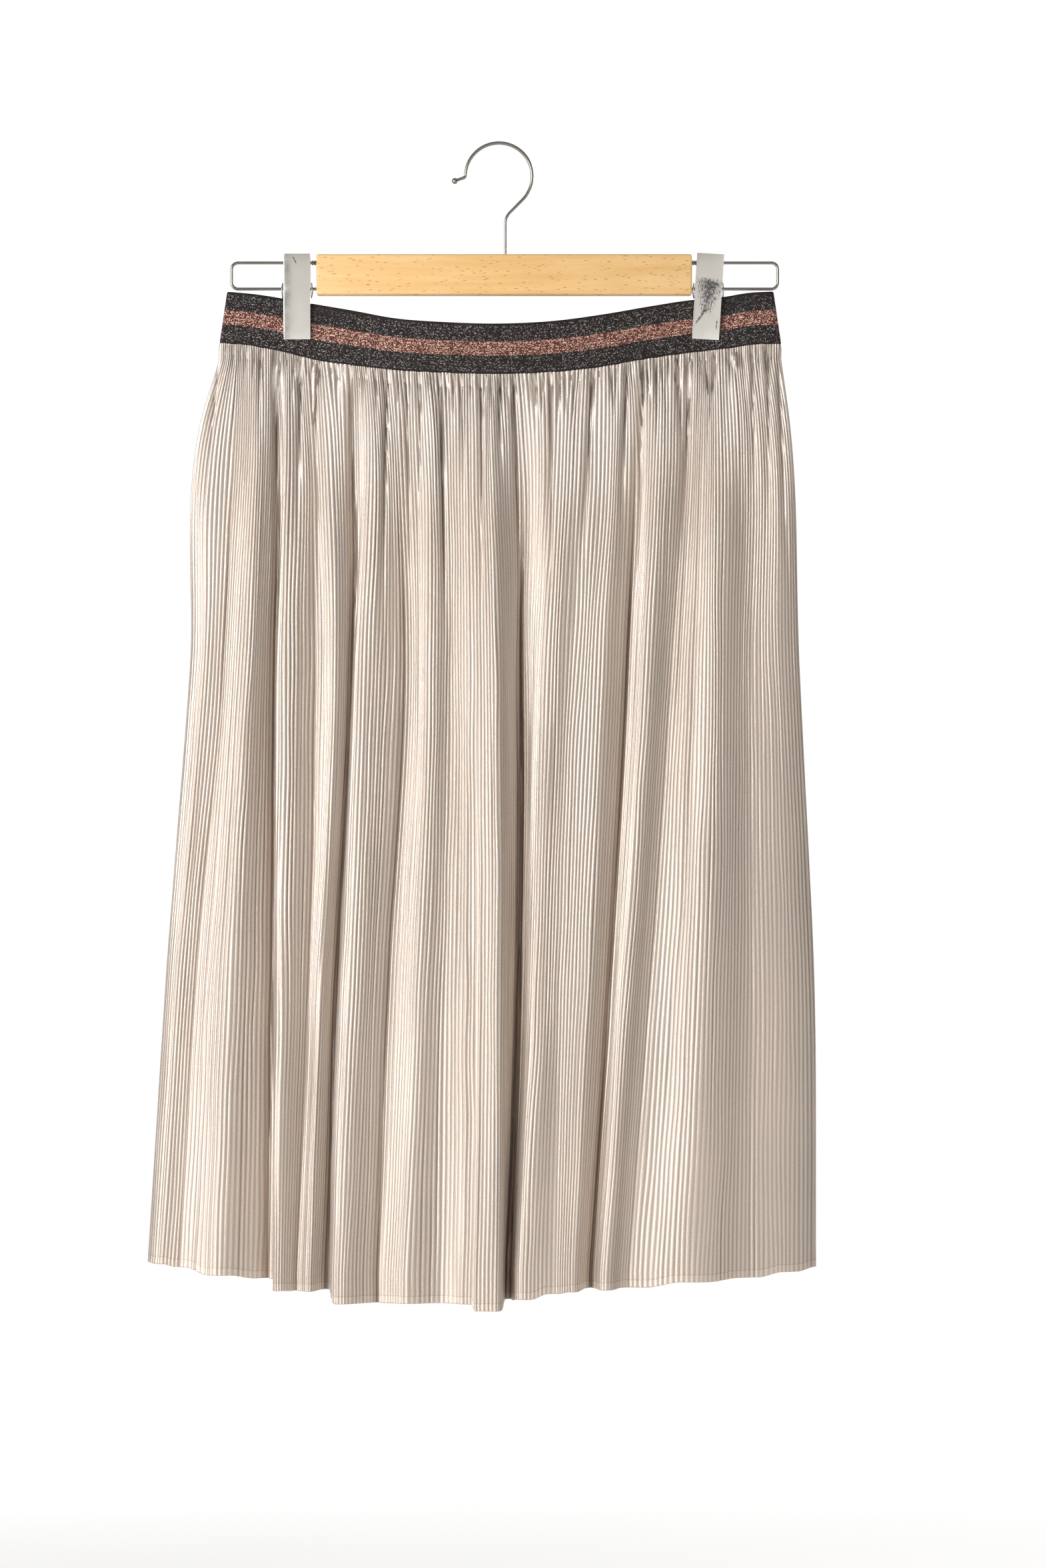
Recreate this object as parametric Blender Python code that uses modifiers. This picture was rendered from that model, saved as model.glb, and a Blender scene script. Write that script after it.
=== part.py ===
"""A gathered plisse midi skirt, clipped to a wooden bar hanger.

The front is seen looking along +Y, with +X to the right and +Z up. The origin is the inside of
the hook's top, where the hanger bears on a rail. Lengths are in metres, and the tables give
millimetres.
"""

import math

import bmesh
import bpy
import numpy as np

MM = 0.001
GAP = 0.3 * MM

# Hook: a ball tip, a small elbow, the open bend, a slanted neck and a stem seated in the bar
HOOK_RADIUS = 24.0 * MM
HOOK_WIRE = 1.25 * MM
STEM_WIRE = 1.0 * MM
TIP_WIRE = 1.1 * MM
HOOK_BALL = 2.2 * MM
TIP_LENGTH = 4.6 * MM
TIP_SLOPE = 20
ELBOW_RADIUS = 2.0 * MM
NECK_RADIUS = 12.0 * MM
NECK_FOOT = -57.0 * MM
STEM_X = 5.0 * MM
STEM_SEAT = 20.0 * MM

# Bar
BAR_LEFT = -130.9 * MM
BAR_RIGHT = 139.2 * MM
BAR_TOP = -79.4 * MM
BAR_BOTTOM = -108.5 * MM
BAR_THICKNESS = 13.0 * MM
BAR_EDGE = 1.5 * MM

# Wire loops at the bar's ends
RAIL_WIRE = 1.1 * MM
RAIL_TOP = -85.1 * MM
RAIL_BOTTOM = -103.9 * MM
RAIL_ENDS = {"left": -192.1 * MM, "right": 201.2 * MM}
RAIL_CORNER = 4.6 * MM
RAIL_SEAT = 12.0 * MM

# Clips: two pressed plates with ears on the lower rail, their jaws closed on the waistband.
# Heights are from the rail, and reaches are from the clips' middle plane to a plate's face.
CLIP_WIDTH = 19.4 * MM
CLIP_TOP = 24.6 * MM
CLIP_BOTTOM = -36.6 * MM
CLIP_SHEET = 0.9 * MM
CLIP_TOP_REACH = 8.0 * MM
CLIP_JAW_REACH = 3.1 * MM
CLIP_FLANGE = 2.4 * MM
EAR_RADIUS = 4.0 * MM
EAR_HOLE = 2.0 * MM
SPRING_RADIUS = 3.1 * MM
SPRING_LENGTH = 13.0 * MM
CLIP_PLACES = {"left": -144.9 * MM, "right": 151.1 * MM}
CLIP_LEANS = {"left": 0.0, "right": math.radians(3.4)}

# Cloth
BAND_WALL = 1.5 * MM
CLOTH_WALL = 1.2 * MM
END_ROUND = 2.4 * MM
BAND_FLARE = 5.5 * MM
BAND_ROWS = 3
BAND_COLUMNS = 46
PLEATS = 100
GATHER_HEIGHT = 1.3 * MM
GATHER_FALL = 0.15
PLEAT_HEIGHT = 0.8 * MM
SIDE_ROUNDNESS = 2.6
ROWS = (0.0, 0.035, 0.09, 0.18, 0.32, 0.49, 0.66, 0.83, 1.0)
FOLD_SAMPLES = 48

# The waistband, station by station: how high its two edges are, and how far its front and its
# back stand off the clips' plane there
WAIST_COLUMNS = ("x", "top", "bottom", "open_top", "open_bottom")
WAIST = (
    (-194.7, -106.1, -143.2, 1.7, 2.6),
    (-176.0, -107.8, -144.9, 1.8, 2.8),
    (-157.0, -110.6, -148.6, 1.0, 1.5),
    (-145.0, -112.8, -151.4, 0.92, 1.3),
    (-133.0, -114.8, -154.6, 1.0, 1.5),
    (-104.0, -120.0, -159.5, 3.6, 4.8),
    (-75.0, -125.6, -163.2, 6.6, 8.2),
    (-40.0, -128.6, -165.3, 9.0, 10.6),
    (1.0, -129.8, -166.2, 10.0, 11.6),
    (40.0, -127.8, -164.8, 9.0, 10.6),
    (77.0, -122.6, -160.4, 6.6, 8.2),
    (110.0, -116.6, -154.2, 3.4, 4.6),
    (139.0, -112.0, -149.9, 1.0, 1.5),
    (151.0, -111.0, -148.5, 0.92, 1.3),
    (163.0, -109.6, -146.8, 1.0, 1.5),
    (180.0, -106.9, -144.2, 1.8, 2.8),
    (197.4, -105.9, -143.9, 1.7, 2.6),
)

# The folds of each panel, in order from the left seam to the right one. x0 to x4 say where the
# fold runs at the five heights, depth is how far it stands out at the hem (a recess is below
# zero), roll is how far the cloth rolls over beside it, and hem is how low it hangs.
FOLD_HEIGHTS = (-155.0, -193.0, -376.0, -616.0, -808.0)
FOLD_COLUMNS = ("x0", "x1", "x2", "x3", "x4", "depth", "roll", "hem")
FRONT_FOLDS = (
    (-200.2, -212.1, -221.7, -240.0, -252.4, 0.0, 0.0, -804.0),
    (-194.8, -203.6, -212.6, -232.3, -243.8, 3.0, 1.0, -804.5),
    (-187.2, -188.7, -198.2, -218.9, -229.4, -4.0, 1.0, -806.4),
    (-172.8, -173.8, -180.5, -193.4, -200.6, 5.0, 1.0, -811.2),
    (-159.8, -157.9, -161.0, -163.0, -165.6, -14.0, 1.5, -814.1),
    (-151.7, -151.2, -154.1, -155.5, -158.4, 8.0, 1.6, -821.3),
    (-140.6, -137.3, -131.6, -136.3, -144.4, -5.0, 1.0, -821.8),
    (-126.2, -123.8, -117.7, -127.6, -134.8, 5.0, 1.0, -821.8),
    (-105.6, -103.7, -105.0, -116.6, -122.9, -10.0, 1.3, -821.3),
    (-95.0, -92.6, -97.4, -105.7, -112.8, 7.0, 1.5, -830.4),
    (-75.8, -73.4, -67.3, -79.2, -86.4, -8.0, 1.0, -830.4),
    (-56.6, -52.8, -49.4, -57.6, -65.3, 6.0, 1.0, -829.9),
    (-40.3, -37.3, -34.0, -38.2, -41.6, -4.0, 1.0, -829.9),
    (-15.8, -15.3, -10.5, -6.7, -9.7, 13.0, 1.2, -834.7),
    (9.6, 13.9, 16.8, 14.9, 7.7, -16.0, 1.3, -822.8),
    (41.8, 42.6, 34.8, 26.8, 17.8, 9.0, 1.5, -822.2),
    (65.8, 64.2, 54.7, 45.2, 40.3, -3.0, 1.0, -823.2),
    (80.2, 81.2, 74.0, 62.6, 53.4, 4.0, 1.0, -822.2),
    (96.6, 98.0, 92.6, 78.8, 66.3, -13.0, 1.4, -820.3),
    (113.8, 113.8, 105.2, 89.8, 76.4, 9.0, 1.6, -820.3),
    (135.4, 135.3, 123.8, 107.8, 93.4, -8.0, 1.0, -819.3),
    (155.2, 154.6, 153.6, 148.7, 140.6, 9.0, 1.0, -815.0),
    (179.0, 182.8, 181.4, 181.9, 179.5, -8.0, 1.0, -813.1),
    (192.0, 197.7, 202.6, 209.4, 209.4, 4.0, 1.0, -809.8),
    (202.9, 208.3, 216.4, 227.5, 228.6, 0.0, 0.0, -807.4),
)
BACK_FOLDS = (
    (-200.2, -212.1, -221.7, -240.0, -252.4, 0.0, 0.0, -804.0),
    (-188.0, -196.0, -204.0, -221.0, -232.0, 5.0, 1.0, -805.0),
    (-168.0, -173.0, -180.0, -194.0, -205.0, -7.0, 1.0, -808.0),
    (-143.0, -148.0, -156.0, -168.0, -176.0, 7.0, 1.2, -813.0),
    (-120.0, -123.0, -128.0, -138.0, -145.0, -12.0, 1.3, -817.0),
    (-96.0, -98.0, -100.0, -108.0, -112.0, 9.0, 1.2, -820.0),
    (-70.0, -71.0, -72.0, -76.0, -80.0, -6.0, 1.0, -824.0),
    (-42.0, -42.0, -44.0, -46.0, -46.0, 10.0, 1.0, -826.0),
    (-16.0, -16.0, -17.0, -18.0, -16.0, -10.0, 1.2, -828.0),
    (10.0, 10.0, 9.0, 10.0, 14.0, 7.0, 1.0, -827.5),
    (36.0, 37.0, 38.0, 40.0, 44.0, -7.0, 1.0, -825.0),
    (62.0, 64.0, 66.0, 70.0, 74.0, 8.0, 1.0, -820.5),
    (88.0, 91.0, 95.0, 101.0, 106.0, -12.0, 1.4, -817.5),
    (112.0, 115.0, 119.0, 125.0, 129.0, 9.0, 1.3, -815.0),
    (138.0, 142.0, 148.0, 156.0, 160.0, -8.0, 1.0, -814.0),
    (164.0, 169.0, 176.0, 186.0, 190.0, 7.0, 1.0, -812.0),
    (184.0, 191.0, 198.0, 208.0, 211.0, -4.0, 1.0, -809.5),
    (202.9, 208.3, 216.4, 227.5, 228.6, 0.0, 0.0, -807.4),
)

# How the panels open on the way down from the seam at 0 to the hem at 1: how far their middle
# stands off the clips' plane, and how much of each fold's depth there is
FALL_COLUMNS = ("down", "reach", "folds")
FALL = (
    (0.0, 12.0, 0.0),
    (0.09, 15.0, 0.30),
    (0.32, 22.0, 0.72),
    (0.66, 29.0, 0.95),
    (1.0, 34.0, 1.05),
)
# The clips and the waistband's shape are felt down to here
WAIST_HOLD = 0.24


def clear_scene():
    for obj in list(bpy.data.objects):
        bpy.data.objects.remove(obj, do_unlink=True)


def new_collection(name):
    collection = bpy.data.collections.new(name)
    bpy.context.scene.collection.children.link(collection)
    return collection


def new_material(name, color, roughness, metallic):
    material = bpy.data.materials.new(name)
    material.use_nodes = True
    shader = material.node_tree.nodes["Principled BSDF"]
    shader.inputs["Base Color"].default_value = (*color, 1.0)
    shader.inputs["Roughness"].default_value = roughness
    shader.inputs["Metallic"].default_value = metallic
    material.diffuse_color = (*color, 1.0)
    return material


def add_object(name, data, collection, material=None):
    obj = bpy.data.objects.new(name, data)
    collection.objects.link(obj)
    if material is not None:
        data.materials.append(material)
    return obj


def mesh_from_bmesh(name, shape):
    mesh = bpy.data.meshes.new(name)
    shape.to_mesh(mesh)
    shape.free()
    return mesh


def column(table, names, name):
    """One named column of a table, as it is written."""
    return np.array([row[names.index(name)] for row in table])


def smooth_through(knots, values, at):
    """A smooth curve through the values at the knots, read at each place in at."""
    slopes = np.gradient(values, knots)
    at = np.clip(at, knots[0], knots[-1])
    index = np.clip(np.searchsorted(knots, at, side="right") - 1, 0, len(knots) - 2)
    width = knots[index + 1] - knots[index]
    u = (at - knots[index]) / width
    return (
        values[index] * (1 - 3 * u**2 + 2 * u**3)
        + values[index + 1] * (3 * u**2 - 2 * u**3)
        + slopes[index] * width * (u - 2 * u**2 + u**3)
        + slopes[index + 1] * width * (u**3 - u**2)
    )


# Hanger


def wire_object(name, points, radii, collection, material):
    """A round wire through points in the XZ plane, each with its own radius."""
    data = bpy.data.curves.new(name, "CURVE")
    data.dimensions = "3D"
    data.bevel_depth = 1.0
    data.bevel_resolution = 2
    data.use_fill_caps = True
    spline = data.splines.new("POLY")
    spline.points.add(len(points) - 1)
    for point, (x, z), radius in zip(spline.points, points, radii):
        point.co = (x, 0.0, z, 1.0)
        point.radius = radius
    add_object(name, data, collection, material)


def arc(centre, radius, start, end, steps):
    """Points from the start angle to the end angle, in degrees."""
    x, z = centre
    turns = np.radians(np.linspace(start, end, steps + 1))
    return [(x + radius * math.cos(turn), z + radius * math.sin(turn)) for turn in turns]


def make_hook(collection, material):
    bend = arc((0.3 * MM, HOOK_WIRE - HOOK_RADIUS), HOOK_RADIUS, 178, -45, 25)
    heel_x, heel_z = bend[0]
    elbow = arc((heel_x - ELBOW_RADIUS, heel_z), ELBOW_RADIUS, TIP_SLOPE - 90, 0, 4)
    slope = math.radians(TIP_SLOPE)
    along = np.array((math.cos(slope), math.sin(slope)))
    tip = np.array(elbow[0]) - TIP_LENGTH * along
    ball_centre = tip - HOOK_BALL * along
    ball_turns = np.radians((8, 30, 55, 80, 105, 130, 150))
    ball = [ball_centre - HOOK_BALL * math.cos(turn) * along for turn in ball_turns]
    ball_wire = [HOOK_BALL * math.sin(turn) for turn in ball_turns]
    neck = arc((STEM_X + NECK_RADIUS, NECK_FOOT), NECK_RADIUS, 135, 180, 5)
    stem = [(STEM_X, BAR_TOP - STEM_SEAT)]
    bend_turn = np.linspace(0.0, math.pi, len(bend))
    bend_wire = list(TIP_WIRE + (HOOK_WIRE - TIP_WIRE) * np.sin(bend_turn))
    route = ball + elbow + bend[1:] + neck + stem
    wire = ball_wire + [TIP_WIRE] * len(elbow) + bend_wire[1:] + [STEM_WIRE] * (len(neck) + 1)
    wire_object("hook", route, wire, collection, material)


def make_rail(side, bar_end, collection, material):
    """One wire loop: out of the bar, round its end, and back into the bar."""
    end = RAIL_ENDS[side]
    outward = math.copysign(1.0, end)
    inner = bar_end - outward * RAIL_SEAT
    turn = end - outward * RAIL_CORNER
    side_on = 90 - 90 * outward
    upper = arc((turn, RAIL_TOP - RAIL_CORNER), RAIL_CORNER, 90, side_on, 5)
    lower = arc((turn, RAIL_BOTTOM + RAIL_CORNER), RAIL_CORNER, side_on, side_on - 90 * outward, 5)
    points = [(inner, RAIL_TOP)] + upper + lower + [(inner, RAIL_BOTTOM)]
    wire_object("rail_" + side, points, [RAIL_WIRE] * len(points), collection, material)


def cylinder_object(name, radius, length, along, collection, material=None, sides=20):
    """A closed cylinder about the origin, along X or Z."""
    shape = bmesh.new()
    bmesh.ops.create_cone(
        shape, cap_ends=True, segments=sides, radius1=radius, radius2=radius, depth=length
    )
    obj = add_object(name, mesh_from_bmesh(name, shape), collection, material)
    if along == "X":
        obj.rotation_euler = (0.0, math.pi / 2, 0.0)
    return obj


def cut(body, cutter):
    modifier = body.modifiers.new("Cut " + cutter.name, "BOOLEAN")
    modifier.object = cutter
    cutter.hide_render = True
    cutter.display_type = "WIRE"


def make_bar(collection, cutters, material):
    """A flat beech bar with eased edges, drilled for the stem and for the four rail ends."""
    shape = bmesh.new()
    bmesh.ops.create_cube(shape, size=1.0)
    size = (BAR_RIGHT - BAR_LEFT, BAR_THICKNESS, BAR_TOP - BAR_BOTTOM)
    bmesh.ops.scale(shape, vec=size, verts=shape.verts)
    bar = add_object("hanger_bar", mesh_from_bmesh("hanger_bar", shape), collection, material)
    bar.location = ((BAR_LEFT + BAR_RIGHT) / 2, 0.0, (BAR_TOP + BAR_BOTTOM) / 2)
    bevel = bar.modifiers.new("Eased edges", "BEVEL")
    bevel.width = BAR_EDGE
    bevel.segments = 2
    stem_hole = cylinder_object("stem_hole", STEM_WIRE + GAP, 2 * (STEM_SEAT + GAP), "Z", cutters)
    stem_hole.location = (STEM_X, 0.0, BAR_TOP)
    cut(bar, stem_hole)
    for x in (BAR_LEFT, BAR_RIGHT):
        for z in (RAIL_TOP, RAIL_BOTTOM):
            hole = cylinder_object("rail_hole", RAIL_WIRE + GAP, 2 * (RAIL_SEAT + GAP), "X", cutters)
            hole.location = (x, 0.0, z)
            cut(bar, hole)


def side_view_object(name, outline, half_width, facing, collection, material=None):
    """An outline of (y, z) points made solid from -half_width to half_width in X."""
    shape = bmesh.new()
    ring = [shape.verts.new((-half_width, facing * y, z)) for y, z in outline]
    face = shape.faces.new(ring)
    grown = bmesh.ops.extrude_face_region(shape, geom=[face])
    moved = [item for item in grown["geom"] if isinstance(item, bmesh.types.BMVert)]
    bmesh.ops.translate(shape, verts=moved, vec=(2 * half_width, 0.0, 0.0))
    bmesh.ops.recalc_face_normals(shape, faces=shape.faces)
    return add_object(name, mesh_from_bmesh(name, shape), collection, material)


def make_clip(side, collection, cutters, material):
    """A front plate and a narrower back one, each a tray whose sides end in ears."""
    pivot = bpy.data.objects.new("clip_pivot_" + side, None)
    pivot.location = (CLIP_PLACES[side], 0.0, RAIL_BOTTOM)
    pivot.rotation_euler = (0.0, CLIP_LEANS[side], 0.0)
    collection.objects.link(pivot)
    ear = arc((0.0, 0.0), EAR_RADIUS, 130, -130, 14)
    tray = [(-CLIP_TOP_REACH, CLIP_TOP), (CLIP_SHEET + CLIP_FLANGE - CLIP_TOP_REACH, CLIP_TOP)]
    tray += ear + [(CLIP_SHEET - CLIP_JAW_REACH, CLIP_BOTTOM), (-CLIP_JAW_REACH, CLIP_BOTTOM)]
    beyond = 2 * EAR_RADIUS
    lean = (CLIP_TOP_REACH - CLIP_JAW_REACH) / (CLIP_TOP - CLIP_BOTTOM) * beyond
    hollow = [
        (CLIP_SHEET - CLIP_TOP_REACH - lean, CLIP_TOP + beyond),
        (beyond, CLIP_TOP + beyond),
        (beyond, CLIP_BOTTOM - beyond),
        (CLIP_SHEET - CLIP_JAW_REACH + lean, CLIP_BOTTOM - beyond),
    ]
    name = "clip_" + side
    for plate_name, facing, inset in (("_front", 1.0, 0.0), ("_back", -1.0, CLIP_SHEET + GAP)):
        half = CLIP_WIDTH / 2 - inset
        plate = side_view_object(name + plate_name, tray, half, facing, collection, material)
        inside = side_view_object("clip_inside", hollow, half - CLIP_SHEET, facing, cutters)
        hole = cylinder_object("ear_hole", EAR_HOLE, 2 * CLIP_WIDTH, "X", cutters)
        for piece in (plate, inside, hole):
            piece.parent = pivot
        cut(plate, inside)
        cut(plate, hole)
    spring = cylinder_object(
        name + "_spring", SPRING_RADIUS, SPRING_LENGTH, "X", collection, material, sides=16
    )
    bore = cylinder_object("spring_bore", RAIL_WIRE + GAP, 2 * SPRING_LENGTH, "X", cutters)
    for piece in (spring, bore):
        piece.location = pivot.location
    cut(spring, bore)


# Waistband


def end_cap(from_left, from_right):
    """How much of its depth a flattened loop has this near its ends, where it folds round."""
    near = np.clip(np.minimum(from_left, from_right) / END_ROUND, 0.0, 1.0)
    return np.sqrt(1 - (1 - near) ** 2)


def band_line(x, down):
    """The waistband's front as x, y and z, at places along its top edge, from 0 to 1 down."""
    station = column(WAIST, WAIST_COLUMNS, "x") * MM
    top, bottom, open_top, open_bottom = (
        smooth_through(station, column(WAIST, WAIST_COLUMNS, name) * MM, x)
        for name in WAIST_COLUMNS[1:]
    )
    middle = (station[0] + station[-1]) / 2
    across = (x - middle) / (station[-1] - middle)
    depth = (open_top + (open_bottom - open_top) * down**2) * end_cap(x - station[0], station[-1] - x)
    return x + BAND_FLARE * across**3 * down, -depth, top + (bottom - top) * down


def band_stations():
    """Places along the waistband's front: close together round its ends, and even between them."""
    left, right = WAIST[0][0] * MM, WAIST[-1][0] * MM
    turn = END_ROUND * (1 - np.cos(np.radians((0, 30, 60))))
    even = np.linspace(left + END_ROUND, right - END_ROUND, BAND_COLUMNS - 2 * len(turn) + 1)
    return np.concatenate([left + turn, even, (right - turn)[::-1]])


def wall_normals(line, closed):
    """The unit normal at each point of a line in plan, to the right of the way that it runs."""
    if closed:
        along = np.roll(line, -1, axis=0) - np.roll(line, 1, axis=0)
    else:
        along = np.gradient(line, axis=0)
    along /= np.linalg.norm(along, axis=1, keepdims=True)
    return np.stack([along[:, 1], -along[:, 0]], axis=1)


def make_waistband(collection, material):
    """One ring of elastic: two rows of points across its wall, carried round and down."""
    stations = band_stations()
    outer = []
    inner = []
    for down in np.linspace(0.0, 1.0, BAND_ROWS + 1):
        x, y, z = band_line(stations, down)
        plan = np.concatenate([np.stack([x, y], axis=1), np.stack([x, -y], axis=1)[-2:0:-1]])
        height = np.concatenate([z, z[-2:0:-1]])
        out = wall_normals(plan, closed=True) * BAND_WALL / 2
        outer.append(np.column_stack([plan + out, height]))
        inner.append(np.column_stack([plan - out, height]))
    shape = bmesh.new()
    outer = [[shape.verts.new(point) for point in row] for row in outer]
    inner = [[shape.verts.new(point) for point in row] for row in inner]
    sections = outer + inner[::-1]
    around = len(outer[0])
    for upper, lower in zip(sections, sections[1:] + sections[:1]):
        for left in range(around):
            right = (left + 1) % around
            shape.faces.new((upper[left], lower[left], lower[right], upper[right]))
    bmesh.ops.recalc_face_normals(shape, faces=shape.faces)
    add_object("waistband", mesh_from_bmesh("waistband", shape), collection, material)


# Skirt panels


def share_columns(lengths, total):
    """An even number of columns for each length, in proportion, adding up to the total."""
    shares = np.maximum(2, np.round(total / 2 * lengths / lengths.sum()).astype(int))
    while shares.sum() != total // 2:
        step = 1 if shares.sum() < total // 2 else -1
        shares[np.argmax(step * (lengths / shares))] += step
    return shares * 2


def lower_edge():
    """The waistband's lower edge, closely sampled: x, how far it stands off the middle, and z."""
    left, right = WAIST[0][0] * MM, WAIST[-1][0] * MM
    turn = END_ROUND * (1 - np.cos(np.linspace(0, math.pi / 2, 12)))
    stations = np.concatenate(
        [left + turn, np.linspace(left, right, 400)[8:-8], (right - turn)[::-1]]
    )
    x, y, z = band_line(stations, 1.0)
    return x, -y, z


def fold_blocks(x, rolls, depths, down, edge):
    """A panel's front in plan at one height: a block of samples between each pair of folds.

    Between two folds x swings past both by their rolls while the depth eases from one to the
    other, so the cloth rolls over.
    """
    u = np.linspace(0.0, 1.0, FOLD_SAMPLES + 1)
    ease = 3 * u**2 - 2 * u**3
    swing = np.gradient(x) * rolls
    left, right = x[0], x[-1]
    middle, half = (left + right) / 2, (right - left) / 2
    fall = column(FALL, FALL_COLUMNS, "down")
    reach = smooth_through(fall, column(FALL, FALL_COLUMNS, "reach") * MM, down)
    share = smooth_through(fall, column(FALL, FALL_COLUMNS, "folds"), down)
    held = max(0.0, 1 - down / WAIST_HOLD)
    held = held**2 * (3 - 2 * held)
    edge_x, edge_depth, _ = edge
    blocks = []
    for k in range(len(x) - 1):
        run = (
            x[k]
            + (x[k + 1] - x[k]) * ease
            + swing[k] * (u - 2 * u**2 + u**3)
            + swing[k + 1] * (u**3 - u**2)
        )
        across = (run - middle) / half
        at_waist = edge_x[0] + (edge_x[-1] - edge_x[0]) * (across + 1) / 2
        waist_depth = np.interp(at_waist, edge_x, edge_depth)
        full_depth = reach * np.sqrt(np.clip(1 - np.abs(across) ** SIDE_ROUNDNESS, 0.0, 1.0))
        fold = (depths[k] + (depths[k + 1] - depths[k]) * ease) * share
        depth = held * waist_depth + (1 - held) * full_depth + fold + GAP / 2
        blocks.append(np.column_stack([run, -depth]))
    return blocks


def evenly_along(block, count):
    """A block of samples cut into count equal lengths."""
    steps = np.linalg.norm(np.diff(block, axis=0), axis=1)
    along = np.concatenate([[0.0], np.cumsum(steps)])
    places = np.linspace(0.0, along[-1], count + 1)
    return np.column_stack([np.interp(places, along, block[:, axis]) for axis in range(2)])


def panel_rows(folds):
    """The middle of a panel's wall, row by row from its seam to its hem, as x, y and z."""
    heights = -np.array(FOLD_HEIGHTS) * MM
    places = np.array([column(folds, FOLD_COLUMNS, f"x{k}") for k in range(len(heights))]) * MM
    rolls = column(folds, FOLD_COLUMNS, "roll")
    depths = column(folds, FOLD_COLUMNS, "depth") * MM
    hems = column(folds, FOLD_COLUMNS, "hem") * MM
    edge = lower_edge()
    seams = np.interp(places[0], edge[0], edge[2]) - GAP
    plans = []
    for down in ROWS:
        depth_below = -(seams + (hems - seams) * down)
        x = np.array([
            smooth_through(heights, places[:, k], depth_below[k]) for k in range(len(folds))
        ])
        plans.append(fold_blocks(x, rolls, depths, down, edge))
    lengths = np.array([
        [np.linalg.norm(np.diff(block, axis=0), axis=1).sum() for block in blocks]
        for blocks in plans
    ]).mean(axis=0)
    shares = share_columns(lengths, 2 * PLEATS)
    hem = [hems[:1]]
    for k, share in enumerate(shares):
        u = np.linspace(0.0, 1.0, share + 1)[1:]
        hem.append(hems[k] + (hems[k + 1] - hems[k]) * (3 * u**2 - 2 * u**3))
    hem = np.concatenate(hem)
    lines = []
    for blocks in plans:
        even = [evenly_along(block, share) for block, share in zip(blocks, shares)]
        lines.append(np.concatenate([even[0][:1]] + [block[1:] for block in even]))
    seam = np.interp(lines[0][:, 0], edge[0], edge[2]) - GAP
    return [
        np.column_stack([line, seam + (hem - seam) * down]) for line, down in zip(lines, ROWS)
    ]


def make_panel(name, folds, facing, collection, material):
    """A gathered panel: pleats raised on its outside, and a plain inside with half the points."""
    outer = []
    inner = []
    for row, down in zip(panel_rows(folds), ROWS):
        normals = wall_normals(row[:, :2], closed=False)
        normals[0] = (-1.0, 0.0)
        normals[-1] = (1.0, 0.0)
        gathered = max(0.0, 1 - down / GATHER_FALL)
        pleat = PLEAT_HEIGHT + (GATHER_HEIGHT - PLEAT_HEIGHT) * gathered
        rise = np.where(np.arange(len(row)) % 2, pleat, 0.0) + CLOTH_WALL / 2
        for points, out in ((outer, rise), (inner, np.full(len(row), -CLOTH_WALL / 2))):
            plan = row[:, :2] + normals * out[:, None]
            points.append(np.column_stack([plan[:, 0], -facing * plan[:, 1], row[:, 2]]))
    shape = bmesh.new()
    outer = [[shape.verts.new(point) for point in row] for row in outer]
    inner = [[shape.verts.new(point) for point in row[::2]] for row in inner]
    for upper, lower in zip(outer, outer[1:]):
        for left in range(len(upper) - 1):
            shape.faces.new((upper[left], lower[left], lower[left + 1], upper[left + 1]))
    for upper, lower in zip(inner, inner[1:]):
        for left in range(len(upper) - 1):
            shape.faces.new((upper[left], upper[left + 1], lower[left + 1], lower[left]))
    for out, within in ((outer[0], inner[0]), (outer[-1], inner[-1])):
        for k in range(len(within) - 1):
            shape.faces.new((out[2 * k], out[2 * k + 1], within[k]))
            shape.faces.new((within[k], out[2 * k + 1], within[k + 1]))
            shape.faces.new((within[k + 1], out[2 * k + 1], out[2 * k + 2]))
    for end in (0, -1):
        for row in range(len(outer) - 1):
            shape.faces.new((outer[row][end], outer[row + 1][end], inner[row + 1][end], inner[row][end]))
    bmesh.ops.recalc_face_normals(shape, faces=shape.faces)
    add_object(name, mesh_from_bmesh(name, shape), collection, material)


def build():
    clear_scene()
    parts = new_collection("midi_skirt_on_hanger")
    cutters = new_collection("cutters")
    chrome = new_material("chrome", (0.75, 0.75, 0.75), 0.12, 1.0)
    beech = new_material("beech", (0.84, 0.58, 0.28), 0.5, 0.0)
    elastic = new_material("lurex elastic", (0.03, 0.026, 0.028), 0.6, 0.0)
    plisse = new_material("metallic plisse", (0.62, 0.53, 0.44), 0.38, 0.6)
    make_hook(parts, chrome)
    make_bar(parts, cutters, beech)
    for side, bar_end in (("left", BAR_LEFT), ("right", BAR_RIGHT)):
        make_rail(side, bar_end, parts, chrome)
        make_clip(side, parts, cutters, chrome)
    make_waistband(parts, elastic)
    make_panel("skirt_front", FRONT_FOLDS, -1.0, parts, plisse)
    make_panel("skirt_back", BACK_FOLDS, 1.0, parts, plisse)


build()
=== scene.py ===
"""The looks of a gathered plisse midi skirt, clipped to a wooden bar hanger.

The front is seen along +Y, with +X to the right and +Z up. The origin is the inside of the hook's
top. The tables give millimetres, and everything else is in metres.
"""

import math

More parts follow.
